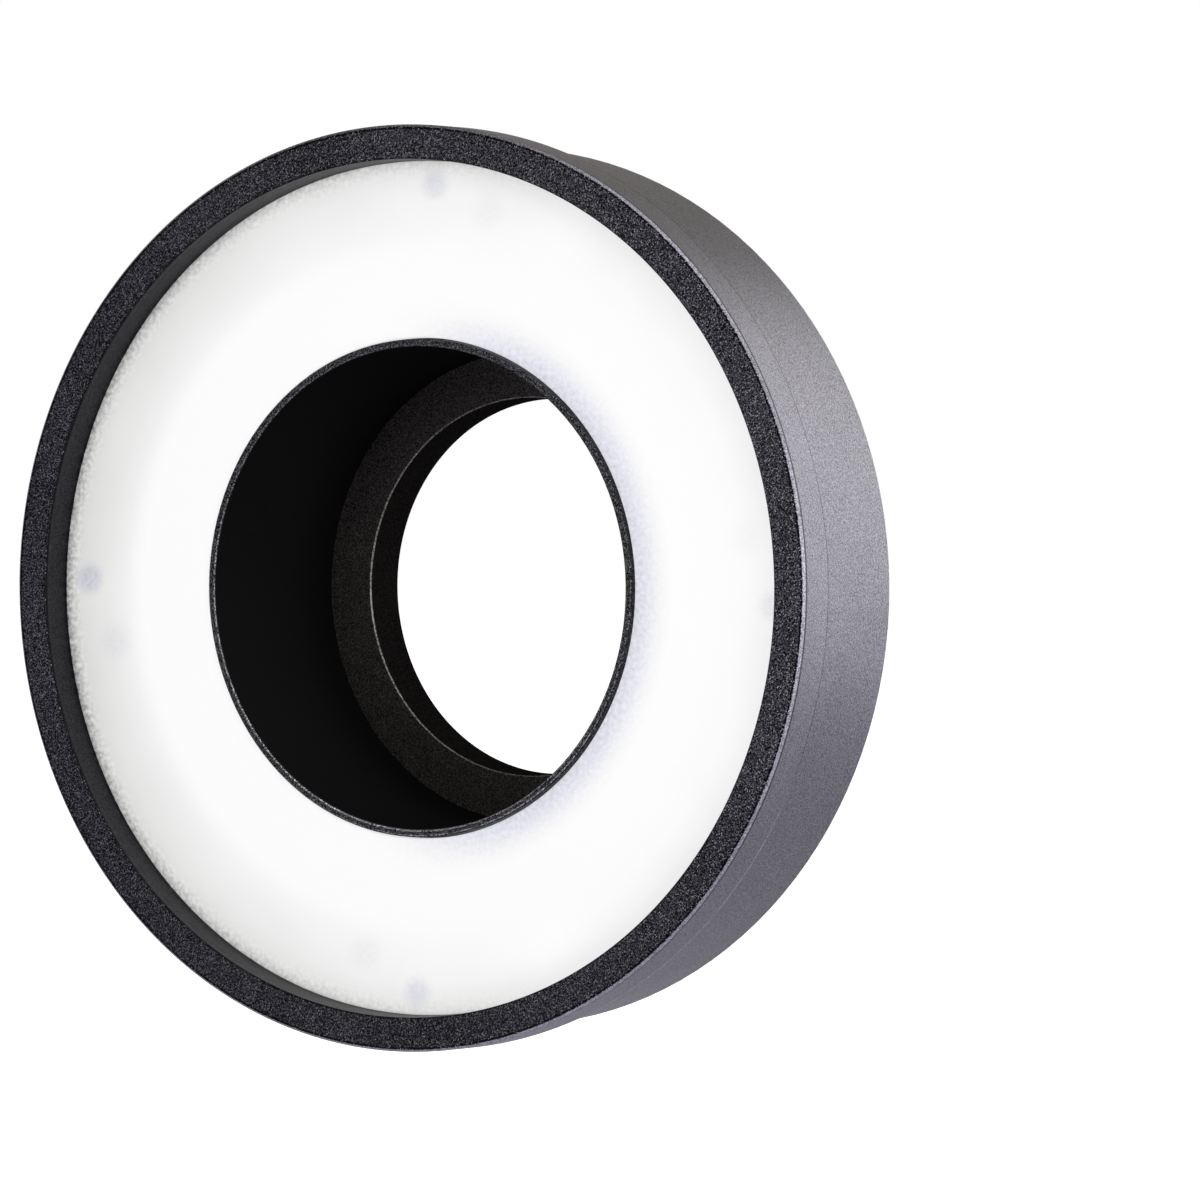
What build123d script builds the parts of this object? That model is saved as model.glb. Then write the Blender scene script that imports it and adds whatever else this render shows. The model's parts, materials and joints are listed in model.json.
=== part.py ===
"""LED ring light for close-up photography, held by the filter thread of its adapter ring.

Lengths are in millimetres. The ring's axis is Y and its light faces -Y, +Z is up, and +X is on the
right as seen from the front. The origin is on the axis, on the adapter's seat beside its thread.
Turned pieces are half sections turned about Y, with the radius along X and the place along Y.
Angles on the ring are counted from +X towards +Z.
"""
import os
from math import cos, radians, sin

from build123d import *

# Clearances
fit_clearance = 0.05
swivel_clearance = 0.05
swivel_play = 0.05
screw_clearance = 0.05
window_clearance = 0.1
cover_side_gap = 0.3

# Bezel, the cap with the rim face and the short band
rim_width = 5.2
bezel_depth = 7.5
bezel_face = 1.6
bezel_break = 0.45
band_break = 0.2
window_break = 0.15

# Drum behind the band, and its inner web
drum_wall = 2.7
drum_break = 0.5
web_thickness = 2.0

# Light unit
window_recess = 5.4
diffuser_thickness = 2.0
lip_gap = 0.2
pillar_height = 5.0
pillar_radius = 2.25
pillar_inset = 2.8
pillar_count = 4
pillar_grip = 3.5
spacer_wall = 1.5
board_thickness = 1.6
board_edge = 0.3
board_tube_gap = 0.45
pad_thickness = 0.5
pad_edge = 0.6
web_tube_gap = 2.25
board_screw_inset = 6.3
board_screw_side_angle = 9.0
led_inset = 5.25
led_screw_gap = 4.5
led_counts = [24, 28, 32]
led_long = 3.5
led_wide = 2.8
led_height = 0.7
lead_hole_radius = 2.6
lead_hole_inset = 7.25
lead_hole_angle = 347.0

# Bore tube with the raised lip
bore_radius = 36.6
tube_wall = 1.15
lip_proud = 0.6
lip_inner_break = 0.25
lip_outer_break = 0.15
tube_overhang = 7.1
tube_flange_inset = 0.5
tube_flange_thickness = 2.0

# Back plate
cover_ledge = 1.2
cover_thickness = 2.0
cover_screw_inset = 2.6
cover_screw_count = 6
cover_screw_angle = 15.0
cover_screw_length = 8.0
cover_screw_sink = 0.1
boss_radius = 3.2

# Adapter ring and its male filter thread, 62 mm across
adapter_lap = 4.2
adapter_flange = 4.4
adapter_break = 0.3
thread_radius = 31.0
thread_wall = 1.8
thread_length = 3.5
groove_depth = 1.2

# Hub that holds the adapter ring
hub_rim = 6.0
hub_setback = 0.2
hub_break = 0.4
hub_screw_angles = [0.0, 120.0, 240.0]
lock_angles = [60.0, 180.0, 300.0]
lock_tip_gap = 0.45
lock_tip_flat = 0.2
lock_head_radius = 3.8
lock_head_length = 6.5
lock_head_gap = 2.6
lock_knurls = 18
knurl_radius = 0.45

# Metric screws: shank radius, head radius, head height
m3_radius = 1.5
m3_sunk_head = 2.8
m25_radius = 1.25
m25_pan_head = 2.1
m25_pan_height = 1.4
m25_cap_head = 2.25
m25_cap_height = 2.5
hex_key_m3 = 2.0
hex_key_m25 = 1.5
hex_key_depth = 1.0
cap_headroom = 0.3
cap_side_gap = 0.2

# Places of the controls round the back plate
inlet_angle = 0.0
dimmer_angle = 120.0
switch_angle = 240.0

# Dimmer: potentiometer, shaft and knob
pot_radius = 8.0
pot_depth = 8.5
pot_floor = 1.5
bush_wall = 0.5
bush_rise = 4.0
shaft_radius = 3.0
shaft_flat = 0.5
washer_width = 2.0
washer_thickness = 0.5
nut_across = 10.0
nut_thickness = 2.0
knob_radius = 7.8
knob_hub_gap = 0.7
knob_gap = 0.8
knob_height = 11.2
knob_crown = 0.8
knob_roof = 2.0
knob_hollow_gap = 0.3
knob_flutes = 24
flute_radius = 0.55
pointer_width = 0.9
pointer_depth = 0.4
pointer_angle = 150.0
lug_width = 1.2
lug_length = 4.5
lug_root = 1.0
lug_thickness = 0.5
lug_pitch = 3.0

# Power switch: rocker in a framed body
switch_body_long = 14.8
switch_body_wide = 9.8
switch_body_depth = 9.5
switch_lip = 1.1
switch_rim = 1.2
switch_corner = 1.0
switch_end_wall = 0.6
switch_side_wall = 0.7
switch_well = 5.5
rocker_side_gap = 0.1
rocker_end_gap = 0.8
rocker_taper = 1.4
rocker_drop = 3.4
rocker_tip = 2.6
rocker_dip = 1.4
rocker_tilt = 9.0
rocker_pin_radius = 0.8
rocker_pin_cover = 0.2
tab_width = 3.2
tab_length = 3.0
tab_thickness = 0.8
tab_pitch = 7.0
tab_web_gap = 2.0

# Supply inlet
inlet_radius = 4.0
inlet_flange_lip = 1.5
inlet_flange = 2.0
inlet_depth = 10.0
inlet_bore = 2.8
inlet_bore_depth = 9.5
inlet_pin_radius = 1.05
inlet_pin_setback = 1.0
inlet_tab_width = 2.0
inlet_tab_length = 2.2

# Driver circuit board, a sector of the ring behind the web
driver_tube_gap = 4.25
driver_wall_gap = 7.3
driver_start_angle = 262.0
driver_sweep_angle = 76.0
driver_thickness = 1.6
standoff_height = 3.0
standoff_radius = 2.25
standoff_side_angle = 5.0
standoff_edge = 3.25
driver_screw_grip = 1.7
chip_long = 10.0
chip_wide = 6.0
chip_height = 1.8
chip_edge = 5.0
chip_angle = 283.0
diode_long = 4.6
diode_wide = 2.6
diode_height = 2.2
diode_edge = 3.0
diode_angle = 284.0
connector_long = 8.0
connector_wide = 5.0
connector_height = 6.0
connector_edge = 4.0
connector_angle = 274.5
coil_angle = 300.0
coil_radius = 5.2
coil_post = 2.4
coil_disc = 1.0
coil_winding = 4.6
coil_headroom = 0.5
capacitor_radius = 3.15
capacitor_edge = 5.5
capacitor_headroom = 0.4
capacitor_angles = [315.5, 325.5]

# Radii, from the bore outward: tube, hub, controls, window, and the rim round it
tube_radius = bore_radius + tube_wall
adapter_radius = tube_radius + adapter_lap
adapter_opening = thread_radius - thread_wall
hub_pocket = adapter_radius + swivel_clearance
hub_radius = hub_pocket + hub_rim
hub_screw_circle = (hub_pocket + hub_radius) / 2
tube_flange_radius = hub_radius - tube_flange_inset
control_circle = hub_radius + knob_hub_gap + knob_radius
window_radius = control_circle + pot_radius + cover_side_gap
drum_radius = window_radius + drum_wall
bezel_radius = window_radius + rim_width
cover_radius = window_radius + cover_ledge
cover_screw_circle = window_radius - cover_screw_inset
web_opening = tube_radius + web_tube_gap
board_radius = window_radius - board_edge
board_opening = tube_radius + board_tube_gap
board_screw_circle = window_radius - board_screw_inset
pad_radius = window_radius - pad_edge
pillar_circle = window_radius - pillar_inset
led_start = tube_radius + led_inset
led_pitch = (board_screw_circle - led_screw_gap - led_start) / (len(led_counts) - 1)
led_circles = [led_start + led_pitch * i for i in range(len(led_counts))]
lead_hole_circle = tube_radius + lead_hole_inset
driver_inner = tube_radius + driver_tube_gap
driver_outer = window_radius - driver_wall_gap
bush_radius = shaft_radius + bush_wall
washer_radius = bush_radius + washer_width
inlet_flange_radius = inlet_radius + inlet_flange_lip

# Places along the axis, from the adapter's seat forward
adapter_front_y = -adapter_flange
tube_rear_y = adapter_front_y - swivel_play
rear_y = tube_rear_y - tube_overhang
cover_front_y = rear_y - cover_thickness
web_rear_y = rear_y - switch_body_depth - tab_length - tab_web_gap
web_front_y = web_rear_y - web_thickness
board_rear_y = web_front_y - pad_thickness
board_front_y = board_rear_y - board_thickness
diffuser_rear_y = board_front_y - pillar_height
diffuser_front_y = diffuser_rear_y - diffuser_thickness
front_y = diffuser_front_y - window_recess
drum_front_y = front_y + bezel_face
tube_front_y = diffuser_front_y - lip_proud
tube_flange_y = cover_front_y - tube_flange_thickness
hub_rear_y = -hub_setback
groove_y = adapter_front_y / 2
driver_front_y = web_rear_y + standoff_height
driver_rear_y = driver_front_y + driver_thickness

# The switch's outer rim and mouth, and the rocker in it
switch_long = switch_body_long + 2 * switch_lip
switch_wide = switch_body_wide + 2 * switch_lip
switch_mouth_long = switch_body_long - 2 * switch_end_wall
switch_mouth_wide = switch_body_wide - 2 * switch_side_wall
rocker_width = switch_mouth_wide - 2 * rocker_side_gap
rocker_half = switch_mouth_long / 2 - rocker_end_gap
rocker_foot = rocker_half - rocker_taper
rocker_pin_half = switch_body_wide / 2 - rocker_pin_cover

# Angles of the repeated fasteners
cover_screw_angles = [cover_screw_angle + 360 / cover_screw_count * i for i in range(cover_screw_count)]
pillar_angles = [360 / pillar_count * i for i in range(pillar_count)]
board_screw_angles = [a + board_screw_side_angle * (-1) ** i for i, a in enumerate(pillar_angles)]
driver_end_angle = driver_start_angle + driver_sweep_angle
standoff_angles = [driver_start_angle + standoff_side_angle, driver_end_angle - standoff_side_angle]
standoff_circles = [driver_inner + standoff_edge, driver_outer - standoff_edge]
standoff_places = [(r, a) for r in standoff_circles for a in standoff_angles]


def facing(y):
    """Plane square to the axis at y, seen from the front: sketch x is X and sketch y is Z."""
    return Plane(origin=(0, y, 0), x_dir=(1, 0, 0), z_dir=(0, -1, 0))


def station(radius, angle, y, side):
    """Plane at a point of a circle round the axis: x outward, z to the rear (1) or the front (-1)."""
    out = (cos(radians(angle)), 0, sin(radians(angle)))
    return Plane(origin=(radius * out[0], y, radius * out[2]), x_dir=out, z_dir=(0, side, 0))


def stations(radius, angles, y, side):
    """One station for each angle."""
    return [station(radius, angle, y, side) for angle in angles]


def spoke(radius, angle, y):
    """Plane whose normal points straight out from the axis at an angle, with its x along Y."""
    out = (cos(radians(angle)), 0, sin(radians(angle)))
    return Plane(origin=(radius * out[0], y, radius * out[2]), x_dir=(0, 1, 0), z_dir=out)


def ring_section(inner, outer, front, rear, mode=Mode.ADD):
    """Rectangle of a half section, from one radius to another and from front to rear."""
    with Locations(((inner + outer) / 2, (front + rear) / 2)):
        Rectangle(outer - inner, rear - front, mode=mode)


def dots(radius, angles, dot_radius):
    """Circles on a pitch circle, in a sketch on facing()."""
    with Locations(*[(radius * cos(radians(a)), radius * sin(radians(a))) for a in angles]):
        Circle(dot_radius)


def headed_screw(head_radius, head_height, shank_radius, length):
    """Screw at each current place, its head standing on the place and its shank below."""
    Cylinder(head_radius, head_height, align=(Align.CENTER, Align.CENTER, Align.MIN))
    Cylinder(shank_radius, length, align=(Align.CENTER, Align.CENTER, Align.MAX))


REAR = 1
FRONT = -1
control_rear = {
    "inlet": station(control_circle, inlet_angle, rear_y, REAR),
    "dimmer": station(control_circle, dimmer_angle, rear_y, REAR),
    "switch": station(control_circle, switch_angle, rear_y, REAR),
}

# Bezel: L section with its outer front edge broken
with BuildPart() as front_bezel:
    with BuildSketch(Plane.XY):
        ring_section(window_radius, bezel_radius, front_y, front_y + bezel_depth)
        ring_section(
            window_radius, drum_radius + fit_clearance, drum_front_y, front_y + bezel_depth, Mode.SUBTRACT
        )
    revolve(axis=Axis.Y)
    front_rims = front_bezel.edges().filter_by(GeomType.CIRCLE).group_by(Axis.Y)[0]
    chamfer(front_rims.sort_by(SortBy.RADIUS)[-1], bezel_break)
    front_rims = front_bezel.edges().filter_by(GeomType.CIRCLE).group_by(Axis.Y)[0]
    chamfer(front_rims.sort_by(SortBy.RADIUS)[0], window_break)
    rear_rims = front_bezel.edges().filter_by(GeomType.CIRCLE).group_by(Axis.Y)[-1]
    chamfer(rear_rims.sort_by(SortBy.RADIUS)[-1], band_break)
front_bezel.part.label = "front_bezel"

# Housing: drum, inner web, and a boss for each screw of the back plate
with BuildPart() as housing:
    with BuildSketch(Plane.XY):
        ring_section(window_radius, drum_radius, drum_front_y, rear_y)
        ring_section(window_radius, cover_radius + fit_clearance, cover_front_y, rear_y, Mode.SUBTRACT)
        ring_section(web_opening, window_radius, web_front_y, web_rear_y)
    revolve(axis=Axis.Y)
    rear_rims = housing.edges().filter_by(GeomType.CIRCLE).group_by(Axis.Y)[-1]
    chamfer(rear_rims.sort_by(SortBy.RADIUS)[-1], drum_break)
    with BuildSketch(facing(cover_front_y)):
        dots(cover_screw_circle, cover_screw_angles, boss_radius)
    extrude(amount=cover_front_y - web_rear_y)
    with BuildSketch(facing(cover_front_y)):
        dots(cover_screw_circle, cover_screw_angles, m3_radius + screw_clearance)
    extrude(amount=cover_screw_length, mode=Mode.SUBTRACT)
    with BuildSketch(facing(web_rear_y)):
        dots(pillar_circle, pillar_angles, m25_radius + screw_clearance)
        dots(board_screw_circle, board_screw_angles, m25_radius + screw_clearance)
        dots(lead_hole_circle, [lead_hole_angle], lead_hole_radius)
        for radius, angle in standoff_places:
            dots(radius, [angle], m25_radius + screw_clearance)
    extrude(amount=web_thickness, mode=Mode.SUBTRACT)
housing.part.label = "housing"

# Diffuser: flat opal ring
with BuildPart() as diffuser:
    with BuildSketch(facing(diffuser_rear_y)):
        Circle(window_radius - window_clearance)
        Circle(tube_radius + lip_gap, mode=Mode.SUBTRACT)
    extrude(amount=diffuser_thickness)
diffuser.part.label = "diffuser"

# Bore tube: raised lip in front, flange against the back plate
with BuildPart() as inner_tube:
    with BuildSketch(Plane.XY):
        ring_section(bore_radius, tube_radius, tube_front_y, tube_rear_y)
        ring_section(bore_radius, tube_flange_radius, tube_flange_y, cover_front_y)
    revolve(axis=Axis.Y)
    lip_edges = inner_tube.edges().filter_by(GeomType.CIRCLE).group_by(Axis.Y)[0]
    chamfer(lip_edges.sort_by(SortBy.RADIUS)[0], lip_inner_break)
    lip_edges = inner_tube.edges().filter_by(GeomType.CIRCLE).group_by(Axis.Y)[0]
    chamfer(lip_edges.sort_by(SortBy.RADIUS)[-1], lip_outer_break)
    with BuildSketch(facing(cover_front_y)):
        dots(hub_screw_circle, hub_screw_angles, m25_radius + screw_clearance)
    extrude(amount=tube_flange_thickness, mode=Mode.SUBTRACT)
inner_tube.part.label = "inner_tube"

# White spacer round the bore tube, between board and diffuser
with BuildPart() as light_spacer:
    with BuildSketch(Plane.XY):
        spacer_inner = tube_radius + 3 * fit_clearance
        ring_section(spacer_inner, spacer_inner + spacer_wall, diffuser_rear_y, board_front_y)
    revolve(axis=Axis.Y)
light_spacer.part.label = "light_spacer"

# Pillars bonded to the back of the diffuser, tapped from the board side
with BuildPart() as diffuser_pillars:
    with BuildSketch(facing(board_front_y)):
        dots(pillar_circle, pillar_angles, pillar_radius)
    extrude(amount=pillar_height)
    with BuildSketch(facing(board_front_y)):
        dots(pillar_circle, pillar_angles, m25_radius + screw_clearance)
    extrude(amount=pillar_grip + fit_clearance, mode=Mode.SUBTRACT)
diffuser_pillars.part.label = "diffuser_pillars"

pillar_screw_length = web_thickness + pad_thickness + board_thickness + pillar_grip
with BuildPart() as pillar_screws:
    with Locations(*stations(pillar_circle, pillar_angles, web_rear_y, REAR)):
        headed_screw(m25_pan_head, m25_pan_height, m25_radius, pillar_screw_length)
    with BuildSketch(*stations(pillar_circle, pillar_angles, web_rear_y + m25_pan_height, REAR)):
        RegularPolygon(hex_key_m25 / 2, 6, major_radius=False)
    extrude(amount=-hex_key_depth, mode=Mode.SUBTRACT)
pillar_screws.part.label = "pillar_screws"

# Board that carries the LEDs, and the pad that takes their heat to the web
with BuildPart() as led_board:
    with BuildSketch(facing(board_rear_y)):
        Circle(board_radius)
        Circle(board_opening, mode=Mode.SUBTRACT)
    extrude(amount=board_thickness)
    with BuildSketch(facing(board_rear_y)):
        dots(pillar_circle, pillar_angles, m25_radius + screw_clearance)
        dots(board_screw_circle, board_screw_angles, m25_radius + screw_clearance)
    extrude(amount=board_thickness, mode=Mode.SUBTRACT)
led_board.part.label = "led_board"

with BuildPart() as leds:
    with BuildSketch(facing(board_front_y)):
        for circle, count in zip(led_circles, led_counts):
            with PolarLocations(circle, count):
                Rectangle(led_long, led_wide)
    extrude(amount=led_height)
leds.part.label = "leds"

with BuildPart() as thermal_pad:
    with BuildSketch(facing(web_front_y)):
        Circle(pad_radius)
        Circle(web_opening, mode=Mode.SUBTRACT)
    extrude(amount=pad_thickness)
    with BuildSketch(facing(web_front_y)):
        dots(pillar_circle, pillar_angles, m25_radius + screw_clearance)
        dots(board_screw_circle, board_screw_angles, m25_radius + screw_clearance)
        dots(lead_hole_circle, [lead_hole_angle], lead_hole_radius)
    extrude(amount=pad_thickness, mode=Mode.SUBTRACT)
thermal_pad.part.label = "thermal_pad"

board_screw_length = board_thickness + pad_thickness + web_thickness
with BuildPart() as board_screws:
    with Locations(*stations(board_screw_circle, board_screw_angles, board_front_y, FRONT)):
        headed_screw(m25_pan_head, m25_pan_height, m25_radius, board_screw_length)
    pan_tops_y = board_front_y - m25_pan_height
    with BuildSketch(*stations(board_screw_circle, board_screw_angles, pan_tops_y, FRONT)):
        RegularPolygon(hex_key_m25 / 2, 6, major_radius=False)
    extrude(amount=-hex_key_depth, mode=Mode.SUBTRACT)
board_screws.part.label = "board_screws"

# Back plate with countersunk screw holes and an opening for each control
with BuildPart() as rear_cover:
    with BuildSketch(facing(rear_y)):
        Circle(cover_radius)
        Circle(tube_radius + fit_clearance, mode=Mode.SUBTRACT)
    extrude(amount=cover_thickness)
    with BuildSketch(facing(rear_y)):
        dots(hub_screw_circle, hub_screw_angles, m25_radius + screw_clearance)
        dots(control_circle, [dimmer_angle], bush_radius + fit_clearance)
        dots(control_circle, [inlet_angle], inlet_radius + fit_clearance)
    extrude(amount=cover_thickness, mode=Mode.SUBTRACT)
    with BuildSketch(control_rear["switch"]):
        Rectangle(switch_body_wide + 2 * fit_clearance, switch_body_long + 2 * fit_clearance)
    extrude(amount=-cover_thickness, mode=Mode.SUBTRACT)
    with Locations(*stations(cover_screw_circle, cover_screw_angles, rear_y, REAR)):
        CounterSinkHole(m3_radius + screw_clearance, m3_sunk_head + screw_clearance, counter_sink_angle=90)
rear_cover.part.label = "rear_cover"

with BuildPart() as cover_screws:
    head_cone = m3_sunk_head - m3_radius
    with Locations(*stations(cover_screw_circle, cover_screw_angles, rear_y - cover_screw_sink, REAR)):
        Cone(
            m3_radius, m3_sunk_head - cover_screw_sink, head_cone - cover_screw_sink,
            align=(Align.CENTER, Align.CENTER, Align.MAX),
        )
        Cylinder(m3_radius, cover_screw_length, align=(Align.CENTER, Align.CENTER, Align.MAX))
    with BuildSketch(*stations(cover_screw_circle, cover_screw_angles, rear_y - cover_screw_sink, REAR)):
        RegularPolygon(hex_key_m3 / 2, 6, major_radius=False)
    extrude(amount=-hex_key_depth, mode=Mode.SUBTRACT)
cover_screws.part.label = "cover_screws"

# Hub: seat of the adapter ring, with a tapped hole for each lock screw
with BuildPart() as hub_ring:
    with BuildSketch(Plane.XY):
        ring_section(tube_radius + fit_clearance, hub_radius, rear_y, hub_rear_y)
        ring_section(bore_radius, hub_pocket, tube_rear_y, hub_rear_y, Mode.SUBTRACT)
    revolve(axis=Axis.Y)
    rear_rims = hub_ring.edges().filter_by(GeomType.CIRCLE).group_by(Axis.Y)[-1]
    chamfer(rear_rims.sort_by(SortBy.RADIUS)[-1], hub_break)
    with Locations(*stations(hub_screw_circle, hub_screw_angles, hub_rear_y, REAR)):
        CounterBoreHole(
            m25_radius + screw_clearance, m25_cap_head + cap_side_gap, m25_cap_height + cap_headroom
        )
    with BuildSketch(*[spoke(hub_radius, angle, groove_y) for angle in lock_angles]):
        Circle(m3_radius + screw_clearance)
    extrude(amount=-(hub_radius - adapter_radius), mode=Mode.SUBTRACT)
hub_ring.part.label = "hub_ring"

cap_seat_y = hub_rear_y - m25_cap_height - cap_headroom
with BuildPart() as hub_screws:
    with Locations(*stations(hub_screw_circle, hub_screw_angles, cap_seat_y, REAR)):
        headed_screw(m25_cap_head, m25_cap_height, m25_radius, cap_seat_y - tube_flange_y)
    with BuildSketch(*stations(hub_screw_circle, hub_screw_angles, cap_seat_y + m25_cap_height, REAR)):
        RegularPolygon(hex_key_m25 / 2, 6, major_radius=False)
    extrude(amount=-hex_key_depth, mode=Mode.SUBTRACT)
hub_screws.part.label = "hub_screws"

# Adapter ring: flange with a V groove round its rim, and the male thread at its major radius
with BuildPart() as adapter_ring:
    with BuildSketch(Plane.XY):
        ring_section(adapter_opening, adapter_radius, adapter_front_y, 0)
        ring_section(adapter_opening, thread_radius, 0, thread_length)
        with BuildLine():
            mouth = groove_depth + fit_clearance
            Polyline(
                (adapter_radius - groove_depth, groove_y),
                (adapter_radius + fit_clearance, groove_y - mouth),
                (adapter_radius + fit_clearance, groove_y + mouth),
                close=True,
            )
        make_face(mode=Mode.SUBTRACT)
    revolve(axis=Axis.Y)
    front_rims = adapter_ring.edges().filter_by(GeomType.CIRCLE).group_by(Axis.Y)[0]
    chamfer(front_rims.sort_by(SortBy.RADIUS)[0], adapter_break)
    thread_rims = adapter_ring.edges().filter_by(GeomType.CIRCLE).group_by(Axis.Y)[-1]
    chamfer(thread_rims.sort_by(SortBy.RADIUS)[-1], adapter_break)
adapter_ring.part.label = "adapter_ring"

# Lock screws: knurled head, shank through the hub and a cone point in the groove
tip_radius = adapter_radius - groove_depth + lock_tip_gap
cone_length = m3_radius - lock_tip_flat
lock_head_seat = hub_radius + lock_head_gap
lock_screws = {}
for letter, angle in zip("abc", lock_angles):
    with BuildPart() as lock_screw:
        with Locations(spoke(tip_radius, angle, groove_y)):
            Cone(lock_tip_flat, m3_radius, cone_length, align=(Align.CENTER, Align.CENTER, Align.MIN))
        with Locations(spoke(tip_radius + cone_length, angle, groove_y)):
            shank_length = lock_head_seat - tip_radius - cone_length
            Cylinder(m3_radius, shank_length, align=(Align.CENTER, Align.CENTER, Align.MIN))
        with BuildSketch(spoke(lock_head_seat, angle, groove_y)):
            Circle(lock_head_radius)
            with PolarLocations(lock_head_radius, lock_knurls):
                Circle(knurl_radius, mode=Mode.SUBTRACT)
        extrude(amount=lock_head_length)
    lock_screw.part.label = f"lock_screw_{letter}"
    lock_screws[letter] = lock_screw

# Potentiometer: round body behind the plate, threaded bush through it, and three solder lugs
with BuildPart() as dimmer_pot:
    with Locations(station(control_circle, dimmer_angle, cover_front_y, FRONT)):
        Cylinder(pot_radius, pot_depth, align=(Align.CENTER, Align.CENTER, Align.MIN))
    with Locations(station(control_circle, dimmer_angle, cover_front_y, REAR)):
        bush_length = cover_thickness + bush_rise
        Cylinder(bush_radius, bush_length, align=(Align.CENTER, Align.CENTER, Align.MIN))
    with BuildSketch(station(control_circle, dimmer_angle, rear_y + bush_rise, REAR)):
        Circle(shaft_radius + fit_clearance)
    extrude(amount=-(bush_length + pot_depth - pot_floor), mode=Mode.SUBTRACT)
    with Locations(station(control_circle, dimmer_angle, cover_front_y - pot_depth / 2, FRONT)):
        with GridLocations(0, lug_pitch, 1, 3):
            with Locations((lug_root - pot_radius - lug_length / 2, 0)):
                Box(lug_length, lug_width, lug_thickness)
dimmer_pot.part.label = "dimmer_pot"

with BuildPart() as pot_washer:
    with BuildSketch(control_rear["dimmer"]):
        Circle(washer_radius)
        Circle(bush_radius + fit_clearance, mode=Mode.SUBTRACT)
    extrude(amount=washer_thickness)
pot_washer.part.label = "pot_washer"

with BuildPart() as pot_nut:
    with BuildSketch(station(control_circle, dimmer_angle, rear_y + washer_thickness, REAR)):
        RegularPolygon(nut_across / 2, 6, major_radius=False)
        Circle(bush_radius + fit_clearance, mode=Mode.SUBTRACT)
    extrude(amount=nut_thickness)
pot_nut.part.label = "pot_nut"

# Shaft with a flat for the grub screw
knob_base_y = rear_y + knob_gap
knob_top_y = knob_base_y + knob_height
shaft_front_y = cover_front_y - pot_depth + pot_floor + fit_clearance
shaft_rear_y = knob_top_y - knob_roof - fit_clearance
flat_length = shaft_rear_y - rear_y - bush_rise
with BuildPart() as dimmer_shaft:
    with BuildSketch(station(control_circle, dimmer_angle, shaft_front_y, REAR)):
        Circle(shaft_radius)
    extrude(amount=shaft_rear_y - shaft_front_y)
    with BuildSketch(station(control_circle, dimmer_angle, shaft_rear_y, REAR)):
        with Locations((2 * shaft_radius - shaft_flat, 0)):
            Rectangle(2 * shaft_radius, 2 * shaft_radius)
    extrude(amount=-flat_length, mode=Mode.SUBTRACT)
dimmer_shaft.part.label = "dimmer_shaft"

# Knob: fluted side, crowned top, pointer groove, and a hollow foot over washer and nut
nut_stack = washer_thickness + nut_thickness - knob_gap + knob_hollow_gap
nut_hollow_radius = nut_across / 2 / cos(radians(30)) + knob_hollow_gap
grub_y = (rear_y + bush_rise + shaft_rear_y) / 2
with BuildPart() as dimmer_knob:
    with BuildSketch(station(control_circle, dimmer_angle, knob_base_y, REAR)):
        Circle(knob_radius)
    extrude(amount=knob_height)
    fillet(dimmer_knob.edges().group_by(Axis.Y)[-1], knob_crown)
    with BuildSketch(station(control_circle, dimmer_angle, knob_base_y, REAR)):
        with PolarLocations(knob_radius, knob_flutes):
            Circle(flute_radius)
    extrude(amount=knob_height, mode=Mode.SUBTRACT)
    with BuildSketch(station(control_circle, dimmer_angle, knob_base_y, REAR)):
        Circle(nut_hollow_radius)
    extrude(amount=nut_stack, mode=Mode.SUBTRACT)
    with BuildSketch(station(control_circle, dimmer_angle, knob_base_y, REAR)):
        Circle(bush_radius + knob_hollow_gap)
    extrude(amount=bush_rise - knob_gap + knob_hollow_gap, mode=Mode.SUBTRACT)
    with BuildSketch(station(control_circle, dimmer_angle, knob_base_y, REAR)):
        Circle(shaft_radius + fit_clearance)
    extrude(amount=knob_height - knob_roof, mode=Mode.SUBTRACT)
    with BuildSketch(station(control_circle, dimmer_angle, knob_top_y, REAR)):
        with PolarLocations(knob_radius / 2, 1, pointer_angle):
            Rectangle(knob_radius, pointer_width)
    extrude(amount=-pointer_depth, mode=Mode.SUBTRACT)
    grub_out = control_circle + knob_radius
    with BuildSketch(spoke(grub_out, dimmer_angle, grub_y)):
        Circle(m3_radius + screw_clearance)
    extrude(amount=-knob_radius, mode=Mode.SUBTRACT)
dimmer_knob.part.label = "dimmer_knob"

grub_inner = control_circle + shaft_radius - shaft_flat
grub_length = knob_radius - flute_radius - (shaft_radius - shaft_flat) - screw_clearance
with BuildPart() as knob_grub_screw:
    with BuildSketch(spoke(grub_inner, dimmer_angle, grub_y)):
        Circle(m3_radius)
    extrude(amount=grub_length)
    with BuildSketch(spoke(grub_inner + grub_length, dimmer_angle, grub_y)):
        RegularPolygon(hex_key_m25 / 2, 6, major_radius=False)
    extrude(amount=-hex_key_depth, mode=Mode.SUBTRACT)
knob_grub_screw.part.label = "knob_grub_screw"

# Switch body: rim on the plate, box through it, a well for the rocker and two pin holes
with BuildPart() as switch_body:
    with BuildSketch(control_rear["switch"]):
        RectangleRounded(switch_wide, switch_long, switch_corner)
    extrude(amount=switch_rim)
    with BuildSketch(control_rear["switch"]):
        Rectangle(switch_body_wide, switch_body_long)
    extrude(amount=-switch_body_depth)
    with BuildSketch(station(control_circle, switch_angle, rear_y + switch_rim, REAR)):
        Rectangle(switch_mouth_wide, switch_mouth_long)
    extrude(amount=-(switch_rim + switch_well), mode=Mode.SUBTRACT)
    with BuildSketch(spoke(control_circle, switch_angle, rear_y)):
        Circle(rocker_pin_radius + fit_clearance)
    extrude(amount=rocker_pin_half + fit_clearance, both=True, mode=Mode.SUBTRACT)
switch_body.part.label = "switch_body"

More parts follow.
